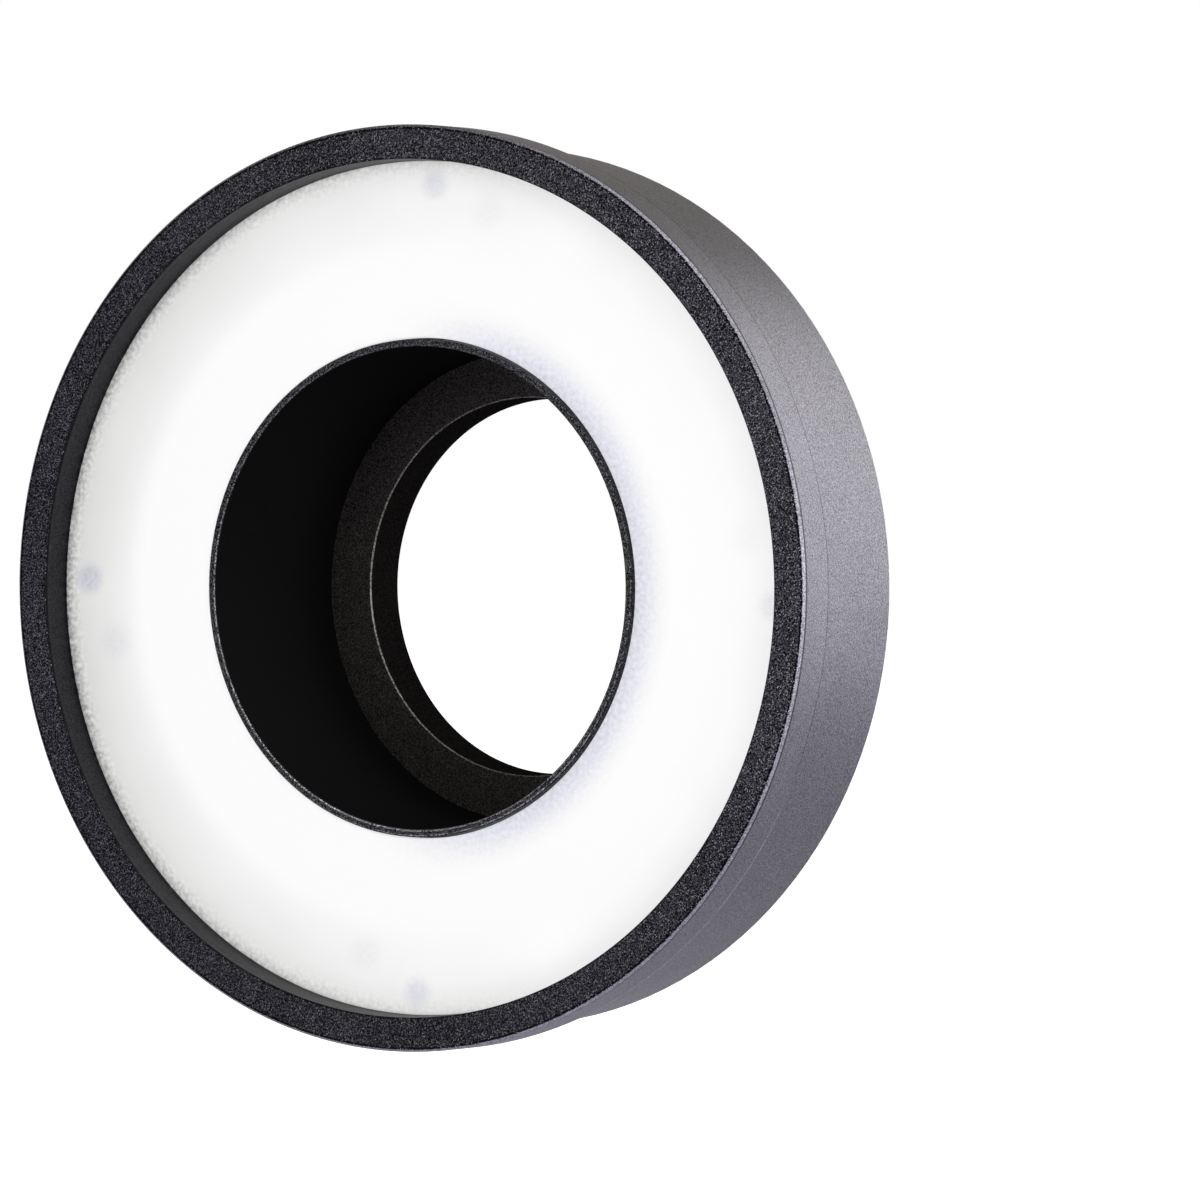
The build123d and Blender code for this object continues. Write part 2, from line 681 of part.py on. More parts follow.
# Rocker: profile across the ring's tangent, tilted to the off side, with a pin at each end
tilted = spoke(control_circle, switch_angle, rear_y) * Rot(Z=rocker_tilt)
with BuildPart() as switch_rocker:
    with BuildSketch(tilted):
        with BuildLine():
            Polyline(
                (-rocker_drop, -rocker_foot),
                (rocker_tip, -rocker_half),
                (rocker_dip, 0),
                (rocker_tip, rocker_half),
                (-rocker_drop, rocker_foot),
                close=True,
            )
        make_face()
    extrude(amount=rocker_width / 2, both=True)
    with BuildSketch(tilted):
        Circle(rocker_pin_radius)
    extrude(amount=rocker_pin_half, both=True)
switch_rocker.part.label = "switch_rocker"

with BuildPart() as switch_tabs:
    with BuildSketch(station(control_circle, switch_angle, rear_y - switch_body_depth, FRONT)):
        with GridLocations(0, tab_pitch, 1, 2):
            Rectangle(tab_width, tab_thickness)
    extrude(amount=tab_length)
switch_tabs.part.label = "switch_tabs"

# Supply inlet: barrel through the plate, centre pin, nut inside, and two solder tabs
with BuildPart() as dc_socket:
    with BuildSketch(control_rear["inlet"]):
        Circle(inlet_flange_radius)
    extrude(amount=inlet_flange)
    with BuildSketch(control_rear["inlet"]):
        Circle(inlet_radius)
    extrude(amount=-inlet_depth)
    chamfer(dc_socket.edges().group_by(Axis.Y)[-1], drum_break)
    with BuildSketch(station(control_circle, inlet_angle, rear_y + inlet_flange, REAR)):
        Circle(inlet_bore)
    extrude(amount=-inlet_bore_depth, mode=Mode.SUBTRACT)
dc_socket.part.label = "dc_socket"

inlet_floor_y = rear_y + inlet_flange - inlet_bore_depth
with BuildPart() as dc_pin:
    with BuildSketch(station(control_circle, inlet_angle, inlet_floor_y, REAR)):
        Circle(inlet_pin_radius)
    extrude(amount=inlet_bore_depth - inlet_pin_setback)
    chamfer(dc_pin.edges().group_by(Axis.Y)[-1], adapter_break)
dc_pin.part.label = "dc_pin"

with BuildPart() as dc_nut:
    with BuildSketch(station(control_circle, inlet_angle, cover_front_y, FRONT)):
        RegularPolygon(nut_across / 2, 6, major_radius=False)
        Circle(inlet_radius + fit_clearance, mode=Mode.SUBTRACT)
    extrude(amount=nut_thickness)
dc_nut.part.label = "dc_nut"

with BuildPart() as dc_tabs:
    with BuildSketch(station(control_circle, inlet_angle, rear_y - inlet_depth, FRONT)):
        with GridLocations(0, inlet_radius, 1, 2):
            Rectangle(inlet_tab_width, lug_thickness)
    extrude(amount=inlet_tab_length)
dc_tabs.part.label = "dc_tabs"

# Driver board on four standoffs
with BuildPart() as driver_board:
    with BuildSketch(facing(driver_rear_y)):
        with BuildLine():
            outer_arc = CenterArc((0, 0), driver_outer, driver_start_angle, driver_sweep_angle)
            inner_arc = CenterArc((0, 0), driver_inner, driver_start_angle, driver_sweep_angle)
            Line(outer_arc @ 0, inner_arc @ 0)
            Line(outer_arc @ 1, inner_arc @ 1)
        make_face()
        for radius, angle in standoff_places:
            with Locations((radius * cos(radians(angle)), radius * sin(radians(angle)))):
                Circle(m25_radius + screw_clearance, mode=Mode.SUBTRACT)
    extrude(amount=driver_thickness)
driver_board.part.label = "driver_board"

with BuildPart() as driver_standoffs:
    for radius, angle in standoff_places:
        with BuildSketch(station(radius, angle, web_rear_y, REAR)):
            Circle(standoff_radius)
            Circle(m25_radius + screw_clearance, mode=Mode.SUBTRACT)
        extrude(amount=standoff_height)
driver_standoffs.part.label = "driver_standoffs"

driver_screw_length = driver_thickness + standoff_height + driver_screw_grip
with BuildPart() as driver_screws:
    with Locations(*[station(radius, angle, driver_rear_y, REAR) for radius, angle in standoff_places]):
        headed_screw(m25_pan_head, m25_pan_height, m25_radius, driver_screw_length)
driver_screws.part.label = "driver_screws"

# Components on the driver board
with BuildPart() as driver_chip:
    with Locations(station(driver_inner + chip_edge, chip_angle, driver_rear_y, REAR)):
        Box(chip_wide, chip_long, chip_height, align=(Align.CENTER, Align.CENTER, Align.MIN))
driver_chip.part.label = "driver_chip"

with BuildPart() as driver_diode:
    with Locations(station(driver_outer - diode_edge, diode_angle, driver_rear_y, REAR)):
        Box(diode_wide, diode_long, diode_height, align=(Align.CENTER, Align.CENTER, Align.MIN))
driver_diode.part.label = "driver_diode"

with BuildPart() as lead_connector:
    with Locations(station(driver_outer - connector_edge, connector_angle, driver_rear_y, REAR)):
        Box(connector_wide, connector_long, connector_height, align=(Align.CENTER, Align.CENTER, Align.MIN))
lead_connector.part.label = "lead_connector"

coil_circle = (driver_inner + driver_outer) / 2
coil_height = tube_flange_y - driver_rear_y - coil_headroom
with BuildPart() as inductor_core:
    with Locations(station(coil_circle, coil_angle, driver_rear_y, REAR)):
        Cylinder(coil_radius, coil_disc, align=(Align.CENTER, Align.CENTER, Align.MIN))
        Cylinder(coil_post, coil_height, align=(Align.CENTER, Align.CENTER, Align.MIN))
    with Locations(station(coil_circle, coil_angle, driver_rear_y + coil_height, FRONT)):
        Cylinder(coil_radius, coil_disc, align=(Align.CENTER, Align.CENTER, Align.MIN))
inductor_core.part.label = "inductor_core"

with BuildPart() as inductor_winding:
    with BuildSketch(station(coil_circle, coil_angle, driver_rear_y + coil_disc, REAR)):
        Circle(coil_winding)
        Circle(coil_post + fit_clearance, mode=Mode.SUBTRACT)
    extrude(amount=coil_height - 2 * coil_disc)
inductor_winding.part.label = "inductor_winding"

capacitor_circle = driver_inner + capacitor_edge
capacitor_height = tube_flange_y - driver_rear_y - capacitor_headroom
with BuildPart() as capacitors:
    with Locations(*stations(capacitor_circle, capacitor_angles, driver_rear_y, REAR)):
        Cylinder(capacitor_radius, capacitor_height, align=(Align.CENTER, Align.CENTER, Align.MIN))
capacitors.part.label = "capacitors"

pieces = [
    front_bezel, housing, diffuser, inner_tube, light_spacer, diffuser_pillars, pillar_screws,
    led_board, leds, thermal_pad, board_screws, rear_cover, cover_screws, hub_ring, hub_screws,
    adapter_ring, *lock_screws.values(), dimmer_pot, pot_washer, pot_nut, dimmer_shaft, dimmer_knob,
    knob_grub_screw, switch_body, switch_rocker, switch_tabs, dc_socket, dc_pin, dc_nut, dc_tabs,
    driver_board, driver_standoffs, driver_screws, driver_chip, driver_diode, lead_connector,
    inductor_core, inductor_winding, capacitors,
]

os.makedirs("parts", exist_ok=True)
for piece in pieces:
    export_step(piece.part, f"parts/{piece.part.label}.step")
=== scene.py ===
"""Looks of the close-up LED ring light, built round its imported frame.

Lengths are in metres. The ring's axis is Y and its light faces -Y, and +Z is up. Angles round the ring are
counted from +X towards +Z. A turned shape is a profile of (radius, height) points that goes round an axis.
"""
import json
from math import acos, cos, pi, radians, sin, tan

import bpy
import numpy as np
from mathutils import Euler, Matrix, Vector


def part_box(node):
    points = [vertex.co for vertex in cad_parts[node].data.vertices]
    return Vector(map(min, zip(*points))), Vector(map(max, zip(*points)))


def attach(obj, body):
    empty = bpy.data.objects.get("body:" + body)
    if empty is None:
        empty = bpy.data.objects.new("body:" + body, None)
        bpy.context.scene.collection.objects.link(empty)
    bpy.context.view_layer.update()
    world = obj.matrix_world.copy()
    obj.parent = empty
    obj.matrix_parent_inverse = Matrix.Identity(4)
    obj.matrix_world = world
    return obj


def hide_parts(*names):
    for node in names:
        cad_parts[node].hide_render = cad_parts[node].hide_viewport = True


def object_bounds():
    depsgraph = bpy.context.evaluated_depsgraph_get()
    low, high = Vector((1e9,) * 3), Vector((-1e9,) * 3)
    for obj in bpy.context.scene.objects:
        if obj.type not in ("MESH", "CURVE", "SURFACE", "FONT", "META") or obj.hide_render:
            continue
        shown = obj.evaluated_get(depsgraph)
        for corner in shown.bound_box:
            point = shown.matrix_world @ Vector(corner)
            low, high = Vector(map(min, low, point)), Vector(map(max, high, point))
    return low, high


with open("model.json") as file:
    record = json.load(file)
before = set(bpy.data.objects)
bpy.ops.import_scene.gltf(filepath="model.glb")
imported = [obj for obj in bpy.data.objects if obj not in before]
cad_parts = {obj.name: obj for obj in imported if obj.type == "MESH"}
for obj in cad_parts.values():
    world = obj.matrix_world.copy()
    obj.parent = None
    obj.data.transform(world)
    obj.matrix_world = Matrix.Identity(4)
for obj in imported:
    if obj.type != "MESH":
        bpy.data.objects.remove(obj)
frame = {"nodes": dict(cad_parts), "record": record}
cad_box = [list(corner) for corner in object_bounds()]
nodes = frame["nodes"]

MM = 0.001


def low(node):
    """Lowest corner of a CAD node."""
    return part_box(node)[0]


def high(node):
    """Highest corner of a CAD node."""
    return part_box(node)[1]


# Places along the axis and radii that the frame gives
front = low("front_bezel").y
band_rear = high("front_bezel").y
bezel_radius = high("front_bezel").x
drum_front = low("housing").y
drum_radius = high("housing").x
diffuser_front = low("diffuser").y
diffuser_rear = high("diffuser").y
diffuser_radius = high("diffuser").x
lip_front = low("inner_tube").y
plate_rear = high("rear_cover").y
flange_front = low("adapter_ring").y
thread_end = high("adapter_ring").y
adapter_radius = high("adapter_ring").x

# Radii and places that follow the CAD source, with angles in degrees
window_radius = 64.8 * MM
bore_radius = 36.6 * MM
tube_radius = 37.75 * MM
opening_radius = 29.2 * MM
thread_radius = 31.0 * MM
control_circle = 56.5 * MM
knob_angle = 120
switch_angle = 240
inlet_angle = 0
lock_angles = {"a": 60, "b": 180, "c": 300}
led_circles = [43.0 * MM, 48.5 * MM, 54.0 * MM]
led_counts = [24, 28, 32]
coil_circle, coil_angle = 49.75 * MM, 300
can_circle, can_angles = 47.5 * MM, (315.5, 325.5)
dial_start, dial_step, dial_marks = 150, 30, 11
tick_circle, number_circle = 8.75 * MM, 12.3 * MM

# Details that the solids leave out
chamfer = 0.37 * MM
sharp_edge, bevelled_edge = radians(35), radians(40)
ink_thickness = 0.03 * MM
ink_line = 0.09 * MM
letter_height = 1.9 * MM
font_size = 1.4


# Shapes

def rounded(corners, closed=True, steps=5):
    """Profile through corners given as (radius, height, fillet), each an arc tangent to its two sides.

    An arc's centre lies on the corner's bisector, at fillet / sin(half the inner angle), and a point just
    beside each end of the arc keeps the flat beside it flat in shading.
    """
    made = []
    last = len(corners) - 1
    for i, (r, h, fillet) in enumerate(corners):
        here = np.array([r, h], float)
        if fillet == 0 or (not closed and i in (0, last)):
            made.append(here)
            continue
        before = np.array(corners[i - 1][:2], float) - here
        after = np.array(corners[(i + 1) % len(corners)][:2], float) - here
        into, out = before / np.linalg.norm(before), after / np.linalg.norm(after)
        half = acos(np.clip(into @ out, -1, 1)) / 2
        reach = fillet / tan(half)
        middle = here + (into + out) / np.linalg.norm(into + out) * fillet / sin(half)
        start, end = here + into * reach - middle, here + out * reach - middle
        turn = pi - 2 * half
        share = np.linspace(0, 1, steps + 1)[:, None]
        arc = (np.sin((1 - share) * turn) * start + np.sin(share * turn) * end) / sin(turn)
        beside = min(0.3 * fillet, 0.2 * MM)
        made.append(middle + start + into * beside)
        made.extend(middle + arc)
        made.append(middle + end + out * beside)
    return np.array(made)


def axes_of(direction):
    """Two unit vectors square to a direction, and the direction itself, as a right-handed set."""
    w = np.array(direction, float)
    w = w / np.linalg.norm(w)
    helper = np.array([0.0, 0.0, 1.0]) if abs(w[2]) < 0.9 else np.array([1.0, 0.0, 0.0])
    u = np.cross(helper, w)
    u = u / np.linalg.norm(u)
    return u, np.cross(w, u), w


def outward(points, faces):
    """Faces turned to point outwards: the signed volume of the cones from the middle is made positive."""
    p = points - points.mean(0)
    volume = 0.0
    for block in faces:
        for k in range(1, block.shape[1] - 1):
            a, b, c = p[block[:, 0]], p[block[:, k]], p[block[:, k + 1]]
            volume += (a * np.cross(b, c)).sum()
    return points, faces if volume > 0 else [block[:, ::-1] for block in faces]


def turned(profile, origin=(0, 0, 0), direction=(0, 1, 0), count=256, shape=None, closed=True):
    """Shell of a profile turned about an axis: point = origin + r cos t u + r sin t v + h w.

    shape(r, h, t) gives the radius for flutes, knurls and threads. An open profile starts and ends on the
    axis, where a fan of triangles closes it.
    """
    u, v, w = axes_of(direction)
    poles = [] if closed else [profile[0, 1], profile[-1, 1]]
    rows = profile if closed else profile[1:-1]
    t = np.linspace(0, 2 * pi, count, endpoint=False)
    r, angle = np.meshgrid(rows[:, 0], t, indexing="ij")
    h = np.broadcast_to(rows[:, 1:], r.shape)
    if shape is not None:
        r = shape(r, h, angle)
    points = (r * np.cos(angle))[..., None] * u + (r * np.sin(angle))[..., None] * v + h[..., None] * w
    points = points.reshape(-1, 3) + np.array(origin, float)
    n = len(rows)
    i, j = np.meshgrid(np.arange(n if closed else n - 1), np.arange(count), indexing="ij")
    k, m = (i + 1) % n, (j + 1) % count
    quads = np.stack([i * count + j, i * count + m, k * count + m, k * count + j], -1).reshape(-1, 4)
    faces = [quads]
    if poles:
        ends = [np.array(origin, float) + height * w for height in poles]
        ring = np.arange(count)
        nxt = (ring + 1) % count
        first, second = len(points), len(points) + 1
        points = np.vstack([points, ends])
        base = (n - 1) * count
        faces.append(np.stack([np.full(count, first), nxt, ring], -1))
        faces.append(np.stack([np.full(count, second), base + ring, base + nxt], -1))
    return outward(points, faces)


def lofted(outlines):
    """Shell through closed outlines of equal counts, one after the other, flat across the first and last."""
    count, n = len(outlines), len(outlines[0])
    i, j = np.meshgrid(np.arange(count - 1), np.arange(n), indexing="ij")
    k = (j + 1) % n
    sides = np.stack([i * n + j, i * n + k, (i + 1) * n + k, (i + 1) * n + j], -1).reshape(-1, 4)
    ends = [np.arange(n)[None, ::-1], np.arange(n)[None] + (count - 1) * n]
    return outward(np.vstack(outlines), [sides, *ends])


def placed(outline, origin, u, v, height=0.0):
    """Flat outline of (a, b) points set in space: point = origin + a u + b v + height u x v."""
    u, v = np.array(u, float), np.array(v, float)
    return np.array(origin, float) + outline[:, :1] * u + outline[:, 1:] * v + height * np.cross(u, v)


def extruded(outline, origin, u, v, depth):
    """Shell of a flat closed outline carried along its own normal."""
    return lofted([placed(outline, origin, u, v), placed(outline, origin, u, v, depth)])


def placed_bar(centre, u, v, half_u, half_v, depth):
    """Shell of a flat bar round a point."""
    outline = np.array([[-half_u, -half_v], [half_u, -half_v], [half_u, half_v], [-half_u, half_v]])
    return extruded(outline, centre, u, v, depth)


def round_rectangle(half_a, half_b, radius, steps=6):
    """Outline of a rectangle with a quarter turn at each corner: corner centre + radius (cos t, sin t)."""
    t = np.concatenate([np.linspace(q, q + pi / 2, steps + 1) for q in (0, pi / 2, pi, 3 * pi / 2)])
    side_a = np.repeat([1, -1, -1, 1], steps + 1)
    side_b = np.repeat([1, 1, -1, -1], steps + 1)
    a = side_a * (half_a - radius) + radius * np.cos(t)
    b = side_b * (half_b - radius) + radius * np.sin(t)
    return np.stack([a, b], -1)


def disc_outline(radius, count):
    """Outline of a regular polygon: radius (cos t, sin t)."""
    t = np.linspace(0, 2 * pi, count, endpoint=False)
    return np.stack([radius * np.cos(t), radius * np.sin(t)], -1)


def lettering(text, height, centre, right, up):
    """Shell of flat lettering, its middle at a point: point = centre + x right + y up + z right x up."""
    curve = bpy.data.curves.new("lettering", "FONT")
    curve.body, curve.size, curve.extrude = text, height * font_size, ink_thickness / 2
    curve.align_x = curve.align_y = "CENTER"
    holder = bpy.data.objects.new("lettering", curve)
    bpy.context.scene.collection.objects.link(holder)
    graph = bpy.context.evaluated_depsgraph_get()
    flat = bpy.data.meshes.new_from_object(holder.evaluated_get(graph))
    points = np.empty(len(flat.vertices) * 3)
    flat.vertices.foreach_get("co", points)
    faces = [np.array([list(face.vertices)]) for face in flat.polygons]
    bpy.data.objects.remove(holder)
    bpy.data.curves.remove(curve)
    bpy.data.meshes.remove(flat)
    right, up = np.array(right, float), np.array(up, float)
    return points.reshape(-1, 3) @ np.array([right, up, np.cross(right, up)]) + np.array(centre), faces


def piece(name, shells, body, slot, replaces=(), finish=None, bevel=0.0):
    """Object made of closed shells, smooth except over its sharp edges, riding on a body.

    Its finish is the one of its slot if no other is named.
    """
    points, faces, start = [], [], 0
    for shell_points, shell_faces in shells:
        points.append(shell_points)
        for block in shell_faces:
            faces.extend((block + start).tolist())
        start += len(shell_points)
    mesh = bpy.data.meshes.new(name)
    mesh.from_pydata(np.vstack(points).tolist(), [], faces)
    mesh.validate()
    mesh.shade_smooth()
    mesh.set_sharp_from_angle(angle=sharp_edge)
    made = bpy.data.objects.new(name, mesh)
    bpy.context.scene.collection.objects.link(made)
    mesh.materials.append(finishes[finish or slot])
    if bevel:
        edges = made.modifiers.new("broken_edges", "BEVEL")
        edges.width, edges.segments, edges.angle_limit = bevel, 3, bevelled_edge
    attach(made, body)
    if replaces:
        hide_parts(*replaces)
    return made


def on_ring(radius, angle, y):
    """Point at a radius and an angle round the ring's axis."""
    return np.array([radius * cos(radians(angle)), y, radius * sin(radians(angle))])


def outward_of(angle):
    """Unit vector straight out from the ring's axis."""
    return np.array([cos(radians(angle)), 0, sin(radians(angle))])


def along_of(angle):
    """Unit vector along the ring, so that outward, along and +Y are a right-handed set."""
    return np.cross([0, 1, 0], outward_of(angle))


def on_plate(angle):
    """Point on the back plate for a control, and the unit vectors outward and along the ring there."""
    return on_ring(control_circle, angle, plate_rear), outward_of(angle), along_of(angle)


def on_dial(angle):
    """Unit vector on the back plate away from the knob's axis, at an angle from the dial's middle."""
    return cos(radians(angle)) * outward_of(knob_angle) + sin(radians(angle)) * along_of(knob_angle)


# Shader node groups and helpers

def node(tree, kind, inputs=None, **settings):
    """New node with some settings and fixed or linked inputs."""
    made = tree.nodes.new(kind)
    for key, value in settings.items():
        setattr(made, key, value)
    for key, value in (inputs or {}).items():
        if isinstance(value, bpy.types.NodeSocket):
            tree.links.new(value, made.inputs[key])
        else:
            made.inputs[key].default_value = value
    return made


def give(tree, target, **values):
    """Values linked to a node's inputs of the same names."""
    for key, value in values.items():
        tree.links.new(value, target.inputs[key.replace("_", " ")])


def group(name, inputs, outputs):
    """Empty node group with float inputs and outputs, and its two end nodes."""
    tree = bpy.data.node_groups.new(name, "ShaderNodeTree")
    for key, value in inputs.items():
        socket = tree.interface.new_socket(key, in_out="INPUT", socket_type="NodeSocketFloat")
        socket.default_value = value
    for key in outputs:
        tree.interface.new_socket(key, in_out="OUTPUT", socket_type="NodeSocketFloat")
    return tree, node(tree, "NodeGroupInput"), node(tree, "NodeGroupOutput")


def maths(tree, operation, a, b=0.0, c=0.0):
    """Output of a Math node."""
    return node(tree, "ShaderNodeMath", {0: a, 1: b, 2: c}, operation=operation).outputs[0]


def noise(tree, place, scale, detail, rough=0.5):
    """Level of a noise texture, between 0 and 1."""
    inputs = {"Vector": place, "Scale": scale, "Detail": detail, "Roughness": rough}
    return node(tree, "ShaderNodeTexNoise", inputs).outputs[0]


def times(tree, a, b):
    """Product of two values, which for two masks is the mask where both are one."""
    return maths(tree, "MULTIPLY", a, b)


def ramp(tree, value, low_in, high_in, low_out=0.0, high_out=1.0, smooth=True):
    """Value carried from one range to another, clamped."""
    made = node(
        tree, "ShaderNodeMapRange",
        {"Value": value, "From Min": low_in, "From Max": high_in, "To Min": low_out, "To Max": high_out},
        interpolation_type="SMOOTHSTEP" if smooth else "LINEAR",
    )
    return made.outputs["Result"]


def mixed(tree, factor, a, b):
    """Output of a Mix node for colours."""
    made = node(tree, "ShaderNodeMix", data_type="RGBA")
    for key, value in ((0, factor), (6, a), (7, b)):
        if isinstance(value, bpy.types.NodeSocket):
            tree.links.new(value, made.inputs[key])
        else:
            made.inputs[key].default_value = value if key == 0 else (*value, 1)
    return made.outputs[2]


# Tone of blasted metal: its darkest and lightest grains, and the mean of them
dark_grain, light_grain, mean_tone = 0.35, 1.35, 0.85


def within(tree, value, start, end):
    """Mask that is one where a length lies between two limits, with both ends a little soft."""
    soft = 0.02 * MM
    after, before = ramp(tree, value, start - soft, start + soft), ramp(tree, value, end + soft, end - soft)
    return times(tree, after, before)


def spread(tree, tone, middle, gain):
    """Tone with its grain made stronger or weaker round a new middle."""
    return maths(tree, "MULTIPLY_ADD", maths(tree, "SUBTRACT", tone, mean_tone), gain, middle)


def scaled_where(tree, tone, mask, factor):
    """Tone times a factor where a mask is one."""
    return times(tree, tone, maths(tree, "MULTIPLY_ADD", mask, factor - 1, 1.0))


def stops(tree, value, points):
    """Ramp through (place, level) points, with the places in millimetres and straight between them."""
    first, last = points[0][0], points[-1][0]
    share = ramp(tree, value, first * MM, last * MM, smooth=False)
    made = node(tree, "ShaderNodeValToRGB", {0: share})
    band = made.color_ramp
    for place, level in points[1:-1]:
        band.elements.new((place - first) / (last - first))
    for element, (place, level) in zip(band.elements, points):
        element.color = (level, level, level, 1)
    return node(tree, "ShaderNodeSeparateColor", {0: made.outputs[0]}).outputs[0]


def make_ring_place():
    """Group that gives a point's radius from the ring's axis, its turn round it and its depth along it."""
    tree, start, end = group("ring_place", {}, ["Radius", "Turn", "Depth"])
    tree.nodes.remove(start)
    place = node(tree, "ShaderNodeTexCoord").outputs["Object"]
    xyz = node(tree, "ShaderNodeSeparateXYZ", {0: place})
    square = times(tree, xyz.outputs[0], xyz.outputs[0])
    total = maths(tree, "MULTIPLY_ADD", xyz.outputs[2], xyz.outputs[2], square)
    turn = maths(tree, "ARCTAN2", xyz.outputs[2], xyz.outputs[0])
    give(tree, end, Radius=maths(tree, "SQRT", total), Turn=turn, Depth=xyz.outputs[1])
    return tree


def make_blasted():
    """Group for sandblasted metal: fine grains, and sparks, light grains at random painted in as glints.

    The pattern lies out of line with the axes, so that no flat face cuts it in rows.
    """
    tree, start, end = group("blasted", {"Grain": 0.0003, "Spark": 0.3}, ["Tone", "Spark", "Height"])
    straight = node(tree, "ShaderNodeTexCoord").outputs["Object"]
    askew = {"Vector": straight, "Rotation": (0.61, 0.83, 0.37)}
    place = node(tree, "ShaderNodeMapping", askew).outputs[0]
    scale = maths(tree, "DIVIDE", 1.0, start.outputs["Grain"])
    fine = noise(tree, place, scale, 3.0, 0.7)
    cells = node(tree, "ShaderNodeTexVoronoi", {"Vector": place, "Scale": scale}, feature="F1")
    red = node(tree, "ShaderNodeSeparateColor", {0: cells.outputs["Color"]}).outputs[0]
    core = ramp(tree, cells.outputs["Distance"], 0.5, 0.15)
    # Sparks: light grains painted in as glints
    spark = times(tree, times(tree, ramp(tree, red, 0.62, 0.98), core), start.outputs["Spark"])
    cloud = ramp(tree, noise(tree, place, 45.0, 2.0), 0.3, 0.7, -0.02, 0.02)
    grains = ramp(tree, fine, 0.3, 0.7, dark_grain, light_grain, smooth=False)
    height = maths(tree, "MULTIPLY_ADD", red, 0.5, fine)
    give(tree, end, Tone=maths(tree, "ADD", grains, cloud), Spark=spark, Height=height)
    return tree


def make_turning():
    """Group for lathe marks: fine rings that follow the radius or the depth, with a little drift."""
    tree, start, end = group("turning", {"Pitch": 0.0002}, ["Height", "Tone"])
    place = node(tree, "ShaderNodeGroup", node_tree=ring_place)
    drift = node(tree, "ShaderNodeTexNoise", {"Scale": 60.0, "Detail": 1.0})
    along = maths(tree, "ADD", place.outputs["Radius"], place.outputs["Depth"])
    wander = maths(tree, "MULTIPLY_ADD", drift.outputs[0], 0.0003, along)
    turns = maths(tree, "DIVIDE", wander, start.outputs["Pitch"])
    along_it = {"W": turns, "Scale": 1.0, "Detail": 2.0}
    lines = node(tree, "ShaderNodeTexNoise", along_it, noise_dimensions="1D").outputs[0]
    give(tree, end, Height=lines, Tone=ramp(tree, lines, 0.3, 0.7, 0.8, 1.2, smooth=False))
    return tree


def make_smears():
    """Group for handling marks: soft cloudy patches that change the roughness a little."""
    tree, start, end = group("smears", {"Size": 0.012, "Amount": 0.08}, ["Roughness"])
    place = node(tree, "ShaderNodeTexCoord").outputs["Object"]
    scale = maths(tree, "DIVIDE", 1.0, start.outputs["Size"])
    centred = maths(tree, "SUBTRACT", noise(tree, place, scale, 4.0, 0.6), 0.5)
    give(tree, end, Roughness=times(tree, centred, start.outputs["Amount"]))
    return tree


def make_moulded():
    """Group for moulded or lacquered parts: a fine texture and a slight unevenness of tone."""
    tree, start, end = group("moulded", {"Grain": 0.0004}, ["Tone", "Height"])
    place = node(tree, "ShaderNodeTexCoord").outputs["Object"]
    scale = maths(tree, "DIVIDE", 1.0, start.outputs["Grain"])
    tone = ramp(tree, noise(tree, place, 120.0, 2.0), 0.3, 0.7, 0.88, 1.12)
    give(tree, end, Tone=tone, Height=noise(tree, place, scale, 3.0))
    return tree


